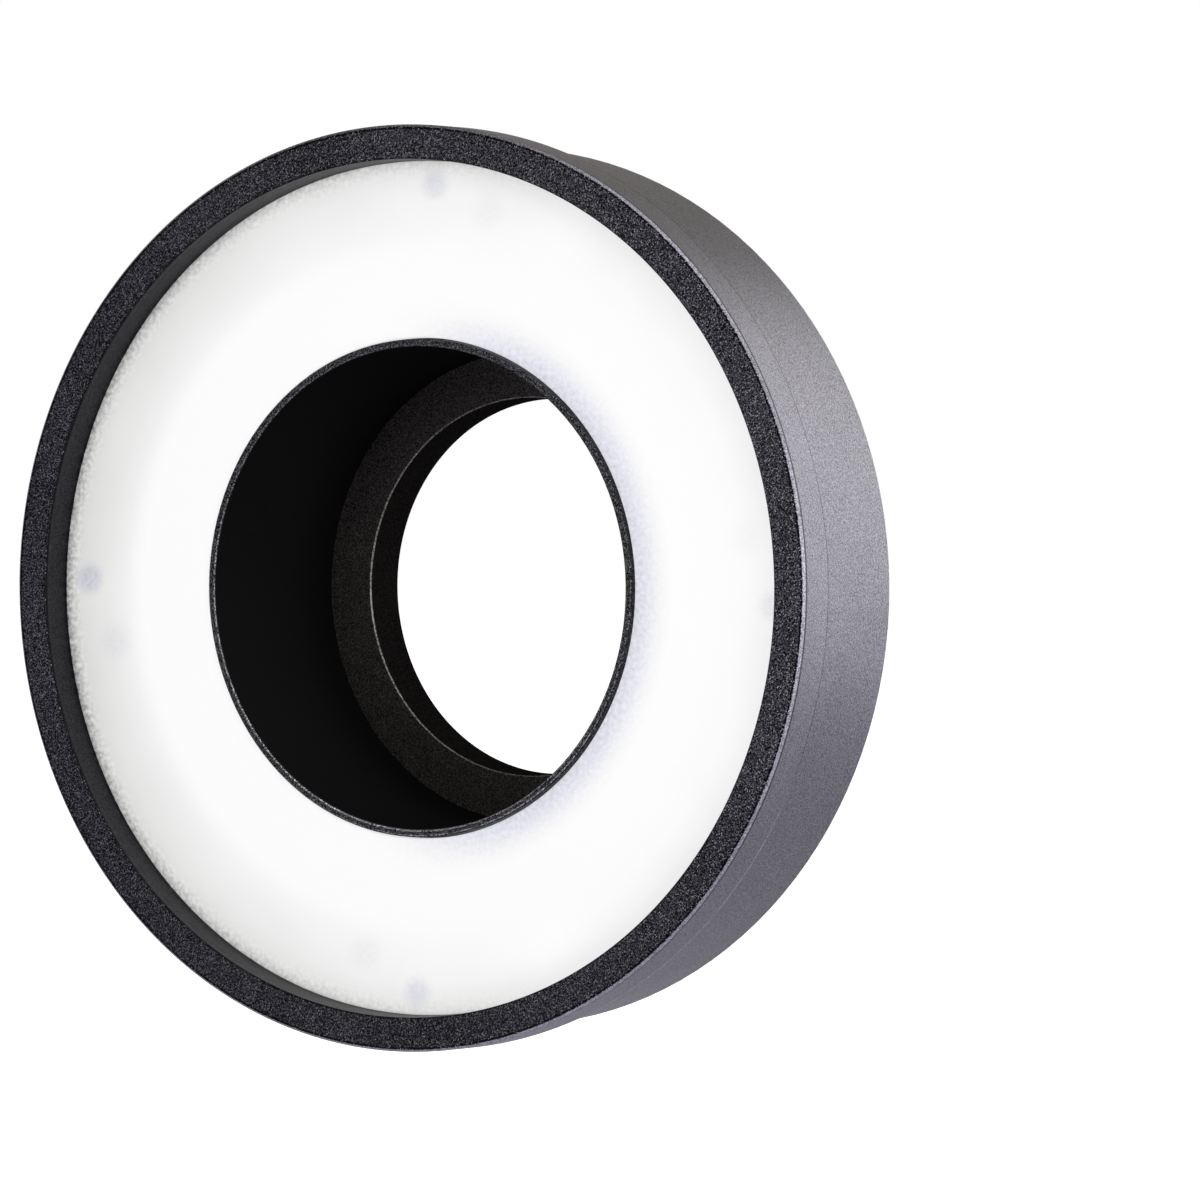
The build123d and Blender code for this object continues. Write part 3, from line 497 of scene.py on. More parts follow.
def make_case_shade():
    """Group for the case: contrasty grain on its front face, and a chamfer between two dark hairlines, made
    light as a painted highlight.

    The face is a little darker at its foot, as painted shade. The band is a little lighter than the drum, as
    painted light, and the hairline at its rear edge is dark above and light below, the light a painted
    highlight. The wall of the window is dark, as painted shade, darkest next to the face. Sparks, painted
    glints, show on the face above all, and more of them to the right, where the light comes from.
    """
    tree, start, end = group("case_shade", {"Tone": 1.0, "Spark": 0.0}, ["Tone", "Spark"])
    tone, sparks = start.outputs["Tone"], start.outputs["Spark"]
    place = node(tree, "ShaderNodeGroup", node_tree=ring_place)
    radius, depth = place.outputs["Radius"], place.outputs["Depth"]
    rightward = maths(tree, "COSINE", place.outputs["Turn"])
    upward = maths(tree, "SINE", place.outputs["Turn"])

    face = ramp(tree, depth, front + 0.07 * MM, front + 0.03 * MM)
    # Painted shade: the face's foot, darkened below
    foot = times(tree, face, ramp(tree, upward, -0.2, -1.0))
    # The band, which the factor of 1.05 below makes a little lighter than the drum as painted light
    outer = ramp(tree, radius, bezel_radius - 0.2 * MM, bezel_radius - 0.1 * MM)
    corner = bezel_radius - front - chamfer
    reach = maths(tree, "SUBTRACT", radius, depth)
    # Painted highlight: the chamfer made light
    painted_chamfer_highlight = ramp(tree, reach, corner - 0.05 * MM, corner - 0.01 * MM)
    rim_line = within(tree, radius, bezel_radius - 0.70 * MM, bezel_radius - 0.40 * MM)
    band_line = within(tree, depth, front + 0.42 * MM, front + 0.86 * MM)
    seam = times(tree, within(tree, depth, band_rear - 0.45 * MM, band_rear - 0.19 * MM), outer)
    # Painted highlight: the rear hairline made light on its lower half; above, it stays dark
    lit_seam = times(tree, seam, ramp(tree, upward, -0.3, -0.5))
    dark_seam = maths(tree, "SUBTRACT", seam, lit_seam)
    # Painted shade: the wall of the window darkened, most of all in the corner next to the face
    wall = ramp(tree, radius, window_radius + 0.30 * MM, window_radius + 0.22 * MM)
    shaded_corner = within(tree, depth, front + 0.06 * MM, front + 0.50 * MM)

    on_sides = spread(tree, tone, 0.93, 1.8)
    on_face = spread(tree, tone, 0.37, 3.8)
    shaded = maths(tree, "MULTIPLY_ADD", face, maths(tree, "SUBTRACT", on_face, on_sides), on_sides)
    for mask, factor in (
        (outer, 1.05), (foot, 0.74),
        (times(tree, rim_line, face), 0.12), (times(tree, band_line, outer), 0.08),
        (dark_seam, 0.35), (lit_seam, 2.2),
        (wall, 0.28), (times(tree, shaded_corner, wall), 0.1), (painted_chamfer_highlight, 2.35),
    ):
        shaded = scaled_where(tree, shaded, mask, factor)
    # Painted glints: the sparks stronger to the right, where the light comes from, and weaker at the face's
    # foot
    glints_to_the_light = ramp(tree, rightward, -1.0, 1.0, 0.75, 1.35, smooth=False)
    share = maths(tree, "MULTIPLY_ADD", face, glints_to_the_light, 0.15)
    sparkling = scaled_where(tree, times(tree, sparks, share), foot, 0.65)
    give(tree, end, Tone=maths(tree, "MAXIMUM", shaded, 0.03), Spark=sparkling)
    return tree


ring_place = make_ring_place()
blasted = make_blasted()
turning = make_turning()
smears = make_smears()
moulded = make_moulded()
case_shade = make_case_shade()


def finish_of(name, **fixed):
    """New material with a Principled shader and its fixed sockets set on the shader itself."""
    made = bpy.data.materials.new(name)
    made.use_nodes = True
    tree = made.node_tree
    shader = tree.nodes["Principled BSDF"]
    for key, value in fixed.items():
        socket = shader.inputs[key.replace("_", " ")]
        socket.default_value = (*value, 1) if isinstance(value, tuple) and len(value) == 3 else value
    return made, tree, shader


def bumped(tree, shader, height, distance):
    """Bump of a height field on the shader's normal."""
    made = node(tree, "ShaderNodeBump", {"Height": height, "Distance": distance, "Strength": 1.0})
    give(tree, shader, Normal=made.outputs[0])


def smeared(tree, shader, roughness):
    """Roughness that varies softly round a value."""
    marks = node(tree, "ShaderNodeGroup", {"Size": 0.012, "Amount": 0.08}, node_tree=smears)
    give(tree, shader, Roughness=maths(tree, "ADD", marks.outputs[0], roughness))


def toned(tree, colour, tone):
    """Colour times a tone."""
    made = node(tree, "ShaderNodeVectorMath", {0: colour, "Scale": tone}, operation="SCALE")
    return made.outputs[0]


# Colour of the sparks, painted glints on blasted metal
painted_glint_colour = (0.75, 0.75, 0.76)


def blasted_metal(name, colour, roughness, grain, spark, bump, shade=None, **fixed):
    """Sandblasted and anodised metal: grain in colour and bump, sparks as painted glints, and a shade over
    chosen parts, with painted light and shade.
    """
    made, tree, shader = finish_of(name, Metallic=1.0, **fixed)
    grains = node(tree, "ShaderNodeGroup", {"Grain": grain, "Spark": spark}, node_tree=blasted)
    tone, sparks = grains.outputs["Tone"], grains.outputs["Spark"]
    if shade is not None:
        tone, sparks = shade(tree, tone, sparks)
    give(tree, shader, Base_Color=mixed(tree, sparks, toned(tree, colour, tone), painted_glint_colour))
    smeared(tree, shader, roughness)
    bumped(tree, shader, grains.outputs["Height"], bump)
    return made


def turned_metal(name, colour, roughness, pitch=0.0002, bump=0.000004):
    """Lathe-turned metal with fine rings."""
    made, tree, shader = finish_of(name, Metallic=1.0)
    marks = node(tree, "ShaderNodeGroup", {"Pitch": pitch}, node_tree=turning)
    give(tree, shader, Base_Color=toned(tree, colour, marks.outputs["Tone"]))
    smeared(tree, shader, roughness)
    bumped(tree, shader, marks.outputs["Height"], bump)
    return made


def plastic(name, colour, roughness, grain=0.0004, bump=0.00001):
    """Moulded plastic, rubber or lacquer: a fine texture and a slight unevenness of colour."""
    made, tree, shader = finish_of(name)
    marks = node(tree, "ShaderNodeGroup", {"Grain": grain}, node_tree=moulded)
    give(tree, shader, Base_Color=toned(tree, colour, marks.outputs["Tone"]))
    smeared(tree, shader, roughness)
    bumped(tree, shader, marks.outputs["Height"], bump)
    return made


# Light of the opal plate as (radius in millimetres, level): on its left, on its right, and the shade that
# lies beside the lip
left_glow = [
    (50.0, 0.795), (51.7, 0.76), (53.5, 0.70), (55.2, 0.665), (57.0, 0.63), (60.6, 0.585), (62.4, 0.55),
    (63.1, 0.48), (63.6, 0.37), (64.2, 0.24), (64.8, 0.10),
]
right_glow = [
    (50.0, 0.795), (57.0, 0.795), (59.8, 0.78), (61.3, 0.755), (62.7, 0.735), (64.0, 0.72), (64.8, 0.60),
]
beside_lip = [(37.8, 0.34), (39.0, 0.28), (40.5, 0.18), (42.0, 0.08), (44.5, 0.0)]

# Shades on the opal plate as (radius, angle, size, depth), with radius and size in millimetres: four at the
# pillars and four by the screws of the LED board
shaded_spots = [
    (61.6, 0, 3.4, 0.21), (61.2, 89.6, 3.4, 0.21), (60.2, 181, 3.4, 0.21), (61.3, 272, 3.4, 0.21),
    (57.6, 10, 4.2, 0.07), (58.0, 80, 4.2, 0.07), (56.0, 191, 4.2, 0.07), (56.4, 262.5, 4.2, 0.07),
]


def opal(name):
    """Opal plate lit from behind: dimmer towards its edges and over each pillar and screw behind it.

    It is dimmer to the left of the ring than to the right, and a soft shade lies round the lip on the right.
    """
    made, tree, shader = finish_of(
        name, Roughness=0.5, Emission_Strength=0.98, Base_Color=(0.165, 0.165, 0.165)
    )
    place = node(tree, "ShaderNodeGroup", node_tree=ring_place)
    xyz = node(tree, "ShaderNodeTexCoord").outputs["Object"]
    radius = place.outputs["Radius"]
    rightward = maths(tree, "COSINE", place.outputs["Turn"])
    mottle, cloud = noise(tree, xyz, 1400.0, 3.0), noise(tree, xyz, 55.0, 2.0)

    side = ramp(tree, rightward, -1.0, 0.4, smooth=False)
    dim, bright = stops(tree, radius, left_glow), stops(tree, radius, right_glow)
    glow = maths(tree, "MULTIPLY_ADD", side, maths(tree, "SUBTRACT", bright, dim), dim)
    near_edge = ramp(tree, radius, 61.0 * MM, 64.6 * MM)
    at_edge = times(tree, near_edge, maths(tree, "SUBTRACT", 1.1, side))
    speckle = times(tree, maths(tree, "SUBTRACT", mottle, 0.5), at_edge)
    cloudy = ramp(tree, radius, 50.0 * MM, 60.0 * MM, 0.0, 0.10)
    drift = times(tree, maths(tree, "SUBTRACT", cloud, 0.5), cloudy)
    glow = maths(tree, "ADD", maths(tree, "ADD", glow, speckle), drift)

    spots = 0.0
    for radius_at, angle, size, depth in shaded_spots:
        centre = tuple(on_ring(radius_at * MM, angle, diffuser_front))
        gap = node(tree, "ShaderNodeVectorMath", {0: xyz, 1: centre}, operation="DISTANCE").outputs["Value"]
        spots = maths(tree, "ADD", spots, ramp(tree, gap, size * MM, 0.2 * size * MM, 0.0, depth))
    spots = times(tree, spots, ramp(tree, side, 0.3, 1.0, 1.1, 0.5, smooth=False))
    lip_shade = stops(tree, radius, beside_lip)
    lip_shade = times(tree, lip_shade, ramp(tree, rightward, -0.235, 0.615))
    dark = maths(tree, "ADD", spots, lip_shade)
    rough_dark = times(tree, dark, ramp(tree, mottle, 0.3, 0.7, 0.55, 1.45, smooth=False))
    glow = times(tree, glow, maths(tree, "SUBTRACT", 1.0, rough_dark))

    warm = mixed(tree, ramp(tree, glow, 0.55, 0.83), (1.0, 1.0, 0.985), (1.0, 1.0, 1.0))
    tint = mixed(tree, ramp(tree, dark, 0.0, 0.25), warm, (0.93, 0.945, 1.06))
    light = toned(tree, tint, maths(tree, "MAXIMUM", glow, 0.0))
    give(tree, shader, Emission_Color=light, Roughness=maths(tree, "MULTIPLY_ADD", mottle, 0.1, 0.45))
    return made


def shade_of_case(tree, tone, sparks):
    """Tone and sparks of the case, which the cap and the drum share."""
    made = node(tree, "ShaderNodeGroup", {"Tone": tone, "Spark": sparks}, node_tree=case_shade)
    return made.outputs["Tone"], made.outputs["Spark"]


def metal_outside(tree, mask):
    """One less a mask, also given to the shader, so that the surface is metal only outside the mask."""
    metal = maths(tree, "SUBTRACT", 1.0, mask)
    give(tree, tree.nodes["Principled BSDF"], Metallic=metal)
    return metal


def shade_of_tube(tree, tone, sparks):
    """Tone of the bore tube: the lip's face is as light as the case, and the bore is darkened to matt black
    as painted shade.

    Along the lower half of the lip two lines are lighter, as painted highlights, one on its inner edge and
    one on its face near the outer edge, both weaker to the left; the inner edge is a little lighter all
    round too.
    The outermost rim is dark all round, as painted shade.
    """
    place = node(tree, "ShaderNodeGroup", node_tree=ring_place)
    radius, turn = place.outputs["Radius"], place.outputs["Turn"]
    # Painted shade: the bore darkened to matt black, with no shine
    bore = ramp(tree, radius, bore_radius + 0.10 * MM, bore_radius + 0.05 * MM)
    metal = metal_outside(tree, bore)
    below = ramp(tree, maths(tree, "SINE", turn), 0.1, -0.8)
    not_left = ramp(tree, maths(tree, "COSINE", turn), -0.7, 0.1, 0.1, 1.0)
    highlit_low_side = times(tree, below, not_left)
    corner = bore_radius + lip_front + 0.25 * MM
    reach = maths(tree, "ADD", radius, place.outputs["Depth"])
    # Painted highlights: the lip's inner edge, lighter all round, and with the line near its outer edge much
    # lighter on the lower side
    edge = ramp(tree, reach, corner + 0.05 * MM, corner + 0.02 * MM)
    painted_outer_highlight = within(tree, radius, tube_radius - 0.36 * MM, tube_radius - 0.18 * MM)
    # Painted shade: the lip's outermost rim darkened
    rim = ramp(tree, radius, tube_radius - 0.14 * MM, tube_radius - 0.10 * MM)

    in_bore = spread(tree, tone, 0.05, 0.01)
    on_lip = spread(tree, tone, 0.48, 3.6)
    lit = maths(tree, "MULTIPLY_ADD", bore, maths(tree, "SUBTRACT", in_bore, on_lip), on_lip)
    lit = scaled_where(tree, maths(tree, "MAXIMUM", lit, 0.04), edge, 1.5)
    lit = scaled_where(tree, lit, times(tree, edge, highlit_low_side), 6.2)
    lit = scaled_where(tree, lit, times(tree, painted_outer_highlight, highlit_low_side), 4.0)
    return scaled_where(tree, lit, rim, 0.3), times(tree, sparks, metal)


def shade_of_adapter(tree, tone, sparks):
    """Tone of the adapter: contrasty grain, a light line round its opening as a painted highlight, and a
    wall in it darkened to matt black as painted shade.
    """
    radius = node(tree, "ShaderNodeGroup", node_tree=ring_place).outputs["Radius"]
    # Painted shade: the wall of the opening darkened to matt black, with no shine
    wall = ramp(tree, radius, opening_radius + 0.10 * MM, opening_radius + 0.05 * MM)
    metal = metal_outside(tree, wall)
    # Painted highlight: a light line round the opening
    edge = within(tree, radius, opening_radius + 0.12 * MM, opening_radius + 0.28 * MM)
    lit = maths(tree, "MAXIMUM", spread(tree, tone, 0.85, 2.6), 0.1)
    lit = scaled_where(tree, scaled_where(tree, lit, edge, 4.0), wall, 0.12)
    return lit, times(tree, sparks, metal)


case_colour = (0.104, 0.1015, 0.118)
finishes = {}


def add(maker, name, *values, **fixed):
    """Finish made and kept under its name, which is the name of its slot for all but two."""
    finishes[name] = maker(name, *values, **fixed)


add(blasted_metal, "bezel_metal", case_colour, 0.46, 0.00023, 0.62, 0.00003, shade_of_case)
add(blasted_metal, "housing_metal", case_colour, 0.46, 0.00027, 0.40, 0.00003, shade_of_case)
add(
    blasted_metal, "tube_metal", (0.10, 0.098, 0.104), 0.48, 0.00023, 0.45, 0.00002, shade_of_tube,
    Specular_IOR_Level=0.0,
)
add(blasted_metal, "cover_metal", (0.07, 0.069, 0.077), 0.50, 0.00028, 0.05, 0.00004)
add(turned_metal, "hub_metal", (0.06, 0.06, 0.066), 0.38)
add(
    blasted_metal, "adapter_metal", (0.062, 0.056, 0.053), 0.50, 0.00024, 0.12, 0.00003, shade_of_adapter,
    Specular_IOR_Level=0.0,
)
finishes["opal"] = opal("opal_plate")
add(plastic, "white_plastic", (0.82, 0.82, 0.80), 0.45)
add(plastic, "ink_white", (0.78, 0.78, 0.76), 0.6, 0.0002, 0.000004)
add(plastic, "board_white", (0.80, 0.81, 0.79), 0.35, 0.0002, 0.000004)
add(plastic, "led_phosphor", (0.90, 0.76, 0.30), 0.30)
add(plastic, "led_package", (0.84, 0.83, 0.78), 0.40, 0.0002, 0.000004)
add(plastic, "pad_grey", (0.30, 0.32, 0.38), 0.75, 0.0003, 0.00003)
add(blasted_metal, "screw_black", (0.038, 0.037, 0.036), 0.42, 0.00018, 0.03, 0.00001)
add(turned_metal, "screw_steel", (0.52, 0.51, 0.49), 0.28)
add(turned_metal, "screw_brass", (0.62, 0.46, 0.19), 0.26)
add(turned_metal, "pot_metal", (0.48, 0.48, 0.48), 0.32)
add(blasted_metal, "knob_metal", (0.04, 0.04, 0.044), 0.40, 0.0002, 0.12, 0.00002)
add(plastic, "switch_plastic", (0.018, 0.018, 0.019), 0.38)
add(plastic, "rocker_plastic", (0.020, 0.020, 0.022), 0.30, 0.0006, 0.00002)
add(turned_metal, "contact_metal", (0.66, 0.62, 0.52), 0.30)
add(plastic, "inlet_plastic", (0.016, 0.016, 0.017), 0.42)
add(plastic, "driver_green", (0.010, 0.105, 0.045), 0.30, 0.0003, 0.000006)
add(plastic, "chip_black", (0.022, 0.022, 0.023), 0.55)
add(plastic, "connector_white", (0.78, 0.74, 0.62), 0.45)
add(plastic, "ferrite", (0.045, 0.045, 0.05), 0.62, 0.0002, 0.00003)
add(turned_metal, "copper_wire", (0.72, 0.27, 0.10), 0.30, 0.0004, 0.00004)
add(turned_metal, "capacitor_metal", (0.62, 0.62, 0.63), 0.30)

# Every CAD node gets the finish of its slot, except that the LEDs get the one of their package
for row in frame["record"]["subparts"]:
    mesh = nodes[row["node"]].data
    mesh.materials.clear()
    mesh.materials.append(finishes["led_package" if row["node"] == "leds" else row["material_slot"]])


# Pieces that stand for CAD nodes, with the detail that the solids leave out

def thread_cut(h, t, start, end, pitch, depth):
    """Depth of a thread at height h and turn t: a wave of h / pitch - t / 2 pi, flat at crest and root.

    It fades in over one pitch and out over half a pitch.
    """
    crest, flank = 0.125, 0.625
    phase = np.mod(h / pitch - t / (2 * pi), 1.0)
    wave = np.clip((1 - np.abs(2 * phase - 1) - crest) / flank, 0, 1)
    return depth * wave * np.clip((h - start) / pitch, 0, 1) * np.clip(2 * (end - h) / pitch, 0, 1)


def make_bezel():
    """Cap with the rim face: L section with softly broken edges, turned about the ring's axis."""
    inner, outer, step = window_radius, bezel_radius, drum_radius + 0.05 * MM
    corners = [
        (inner + 0.15 * MM, front, 0.06 * MM), (outer - chamfer, front, 0.05 * MM),
        (outer, front + chamfer, 0.05 * MM), (outer, band_rear - 0.2 * MM, 0.06 * MM),
        (outer - 0.2 * MM, band_rear, 0.06 * MM), (step, band_rear, 0.05 * MM),
        (step, drum_front, 0), (inner, drum_front, 0), (inner, front + 0.15 * MM, 0.06 * MM),
    ]
    shell = turned(rounded(corners, steps=4), count=512)
    piece("bezel_cap", [shell], "lamp", "bezel_metal", ["front_bezel"])


def make_diffuser():
    """Opal ring: flat plate with its edges rounded by a quarter of a millimetre."""
    inner, edge = tube_radius + 0.2 * MM, 0.25 * MM
    corners = [
        (inner, diffuser_front, edge), (diffuser_radius, diffuser_front, edge),
        (diffuser_radius, diffuser_rear, edge), (inner, diffuser_rear, edge),
    ]
    piece("opal_ring", [turned(rounded(corners), count=384)], "lamp", "opal", ["diffuser"])


def make_adapter():
    """Adapter ring: flange with a V groove round its rim, an undercut, and a fine thread cut as a helix."""
    inner, outer, half_groove = opening_radius, adapter_radius, 1.2 * MM
    middle, pitch, depth = flange_front / 2, 0.75 * MM, 0.46 * MM
    first = rounded([
        (inner, thread_end - 0.2 * MM, 0), (inner, flange_front + 0.3 * MM, 0.08 * MM),
        (inner + 0.3 * MM, flange_front, 0.08 * MM), (outer - 0.25 * MM, flange_front, 0.06 * MM),
        (outer, flange_front + 0.25 * MM, 0.06 * MM), (outer, middle - half_groove, 0.08 * MM),
        (outer - half_groove, middle, 0.1 * MM), (outer, middle + half_groove, 0.08 * MM),
        (outer, -0.25 * MM, 0.06 * MM), (outer - 0.25 * MM, 0, 0.06 * MM), (thread_radius, 0, 0),
    ], closed=False)
    heights = np.arange(0.04, 3.2, 0.055) * MM
    thread = np.stack([np.full_like(heights, thread_radius), heights], -1)
    last = rounded([
        (thread_radius, thread_end - 0.28 * MM, 0), (thread_radius - 0.3 * MM, thread_end, 0.06 * MM),
        (inner + 0.2 * MM, thread_end, 0.06 * MM), (inner, thread_end - 0.19 * MM, 0),
    ], closed=False)

    def cut(r, h, t):
        """Radius, on the thread less the depth of the undercut or of the helix."""
        undercut = np.where(h < 0.35 * MM, depth, 0.0)
        helix = thread_cut(h, t, 0.35 * MM, 3.15 * MM, pitch, depth)
        return np.where(np.abs(r - thread_radius) < 1e-6, r - np.maximum(undercut, helix), r)

    shell = turned(np.vstack([first, thread, last]), count=384, shape=cut)
    piece("filter_adapter", [shell], "adapter", "adapter_metal", ["adapter_ring"])


def make_lock_screws():
    """Thumb screws: cone point, threaded shank, and a head with a straight knurl and a dished end."""
    knurls, pitch = 36, 0.5 * MM
    tip, seat, end = 41.2 * MM, 50.6 * MM, 57.1 * MM
    shank, head = 1.5 * MM, 3.8 * MM
    first = rounded([(0, tip, 0), (0.2 * MM, tip, 0), (shank, tip + 1.3 * MM, 0)], closed=False)
    heights = np.arange(tip + 1.35 * MM, seat - 0.9 * MM, 0.06 * MM)
    thread = np.stack([np.full_like(heights, shank), heights], -1)
    last = rounded([
        (shank, seat - 0.85 * MM, 0), (shank, seat, 0), (head - 0.45 * MM, seat, 0.08 * MM),
        (head, seat + 0.45 * MM, 0.08 * MM), (head, end - 0.5 * MM, 0.1 * MM),
        (head - 0.5 * MM, end, 0.1 * MM), (2.3 * MM, end, 0.1 * MM), (1.9 * MM, end - 0.4 * MM, 0.1 * MM),
        (0, end - 0.5 * MM, 0),
    ], closed=False)
    profile = np.vstack([first, thread, last])

    def cut(r, h, t):
        """Radius, on the shank less the thread, and on the head head - 0.26 + 0.26 |sin 18 t|^0.7."""
        helix = thread_cut(h, t, tip + 1.3 * MM, seat - 0.8 * MM, pitch, 0.28 * MM)
        ridge = 0.26 * MM * np.abs(np.sin(knurls * t / 2)) ** 0.7
        knurled = np.minimum(r, head - 0.26 * MM + ridge)
        return np.where(r > 3.0 * MM, knurled, np.where(np.abs(r - shank) < 1e-6, r - helix, r))

    for letter, angle in lock_angles.items():
        shell = turned(profile, (0, flange_front / 2, 0), outward_of(angle), 288, cut, closed=False)
        name = f"lock_screw_{letter}"
        piece(f"thumb_screw_{letter}", [shell], f"lock_{letter}", "screw_brass", [name])


def make_switch():
    """Switch frame: box through the plate, a rim with rounded edges, and the well that holds the rocker.

    Its outlines are (half width, half length, corner radius, height) in millimetres.
    """
    middle, out, along = on_plate(switch_angle)
    steps = [
        (4.9, 7.4, 0.3, -9.5), (4.9, 7.4, 0.3, 0.0), (6.0, 8.5, 1.0, 0.0), (6.0, 8.5, 1.0, 0.05),
        (6.0, 8.5, 1.0, 0.85), (5.95, 8.45, 0.95, 1.04), (5.83, 8.33, 0.85, 1.16), (5.65, 8.15, 0.7, 1.2),
        (5.6, 8.1, 0.7, 1.2), (4.5, 7.1, 0.5, 1.2), (4.45, 7.05, 0.45, 1.2), (4.28, 6.88, 0.35, 1.14),
        (4.2, 6.8, 0.3, 0.98), (4.2, 6.8, 0.3, 0.9), (4.2, 6.8, 0.3, -5.5),
    ]
    outlines = [
        placed(round_rectangle(a * MM, b * MM, r * MM), middle, out, along, h * MM) for a, b, r, h in steps
    ]
    piece("switch_frame", [lofted(outlines)], "lamp", "switch_plastic", ["switch_body"])


def make_rocker():
    """Rocker with two pins, and marks on its valley of height 1.4 + 1.2 (b / 6)^2 in millimetres."""
    middle, out, along = on_plate(switch_angle)
    tilt, half_width, half_length, mark_at = radians(9), 4.1, 6.0, 3.7
    foot, half_foot, pin_radius, half_pin = -3.4, 4.6, 0.8, 4.7
    rise = np.array([0, cos(tilt), 0]) - sin(tilt) * along
    across = np.array([0, -sin(tilt), 0]) - cos(tilt) * along

    def valley(b):
        """Height of the rocker's top."""
        return 1.4 + 1.2 * (b / half_length) ** 2

    def on_top(b):
        """Point on the valley and its normal."""
        normal = rise - 2.4 * b / half_length ** 2 * across
        point = middle + valley(b) * MM * rise + b * MM * across
        return point, normal / np.linalg.norm(normal)

    b = np.linspace(-half_length, half_length, 25)
    top = np.stack([valley(b), b], -1)
    outline = np.vstack([[[foot, -half_foot]], top, [[foot, half_foot]]]) * MM
    body = extruded(outline, middle - half_width * MM * out, rise, across, 2 * half_width * MM)
    pin = np.array([[0, -half_pin], [pin_radius, -half_pin], [pin_radius, half_pin], [0, half_pin]]) * MM
    pins = turned(pin, middle, out, 32, closed=False)
    shells = [body, pins]
    piece("rocker_cap", shells, "rocker", "rocker_plastic", ["switch_rocker"], bevel=0.3 * MM)

    place, normal = on_top(-mark_at)
    bar = placed_bar(place - 0.01 * MM * normal, out, np.cross(normal, out), 1.1 * MM, 0.19 * MM, 0.04 * MM)
    place, normal = on_top(mark_at)
    ring = np.array([[0.78, -0.01], [1.14, -0.01], [1.14, 0.03], [0.78, 0.03]]) * MM
    circle = turned(ring, place, normal, 48)
    piece("rocker_marks", [bar, circle], "rocker", "white_plastic", finish="ink_white")


def make_print():
    """Printing on the back plate: the dial's ticks and numbers, the switch's words, the inlet's polarity."""
    middle, up, side = on_plate(knob_angle)
    shells = []
    for k in range(dial_marks):
        out = on_dial(dial_start - dial_step * k)
        across = np.cross([0, 1, 0], out)
        wide = 0.2 * MM if k % 5 == 0 else 0.12 * MM
        shells.append(placed_bar(middle + tick_circle * out, out, across, 0.42 * MM, wide, ink_thickness))
    for word, angle in (("0", 132), ("10", -132)):
        place = middle + number_circle * on_dial(angle)
        shells.append(lettering(word, letter_height, place, -side, up))
    middle, out, along = on_plate(switch_angle)
    shells.append(lettering("ON", letter_height, middle + 11.2 * MM * along, along, -out))
    shells.append(lettering("OFF", letter_height, middle - 11.6 * MM * along, along, -out))
    middle, out, along = on_plate(inlet_angle)
    middle = middle + 2.5 * MM * out + 10.5 * MM * along
    ring = np.array([[0.75, 0.0], [0.95, 0.0], [0.95, 0.03], [0.75, 0.03]]) * MM
    sign_place = 2.6 * MM
    for place in (-sign_place, sign_place):
        spot = middle + place * out
        shells.append(turned(ring, spot, (0, 1, 0), 40))
        shells.append(placed_bar(spot, out, along, 0.45 * MM, ink_line, ink_thickness))
    shells.append(placed_bar(middle - sign_place * out, along, -out, 0.45 * MM, ink_line, ink_thickness))
    shells.append(extruded(disc_outline(0.42 * MM, 32), middle, out, along, ink_thickness))
    for place in (-1.1, 1.1):
        shells.append(placed_bar(middle + place * MM * out, out, along, 0.6 * MM, ink_line, ink_thickness))
    piece("back_print", shells, "lamp", "white_plastic", finish="ink_white")


def make_pointer():
    """White inlay in the knob's pointer groove."""
    out = on_dial(dial_start)
    reach, half_length, half_width, depth, thickness = 3.5 * MM, 3.45 * MM, 0.42 * MM, 0.38 * MM, 0.33 * MM
    foot = on_ring(control_circle, knob_angle, high("dimmer_knob").y - depth)
    across = np.cross([0, 1, 0], out)
    bar = placed_bar(foot + reach * out, out, across, half_length, half_width, thickness)
    piece("knob_pointer", [bar], "dimmer", "white_plastic", finish="ink_white")


def make_inlet():
    """Supply inlet: barrel, flange with a rounded rim and a raised collar round the bore."""
    middle = on_ring(control_circle, inlet_angle, plate_rear)
    corners = [
        (2.8, -7.5, 0), (2.8, 1.6, 0.12), (3.05, 2.0, 0.12), (3.6, 2.0, 0.1), (3.8, 1.75, 0.1),
        (5.2, 1.75, 0.3), (5.5, 1.2, 0.2), (5.5, 0.0, 0.1), (4.0, 0.0, 0), (4.0, -10.0, 0.3),
        (0.6, -10.0, 0.0), (0.6, -7.5, 0),
    ]
    profile = rounded([(r * MM, h * MM, f * MM) for r, h, f in corners])
    shell = turned(profile, middle, (0, 1, 0), 128)
    piece("inlet_barrel", [shell], "lamp", "inlet_plastic", ["dc_socket"])


def make_led_windows():
    """Round phosphor window in the face of each LED."""
    shells = []
    radius, thickness = 1.05 * MM, 0.06 * MM
    rear = low("leds").y + 0.02 * MM
    for circle, count in zip(led_circles, led_counts):
        for angle in np.arange(count) * 360 / count:
            centre, out = on_ring(circle, angle, rear), outward_of(angle)
            shells.append(extruded(disc_outline(radius, 16), centre, along_of(angle), out, thickness))
    piece("led_windows", shells, "lamp", "led_phosphor")


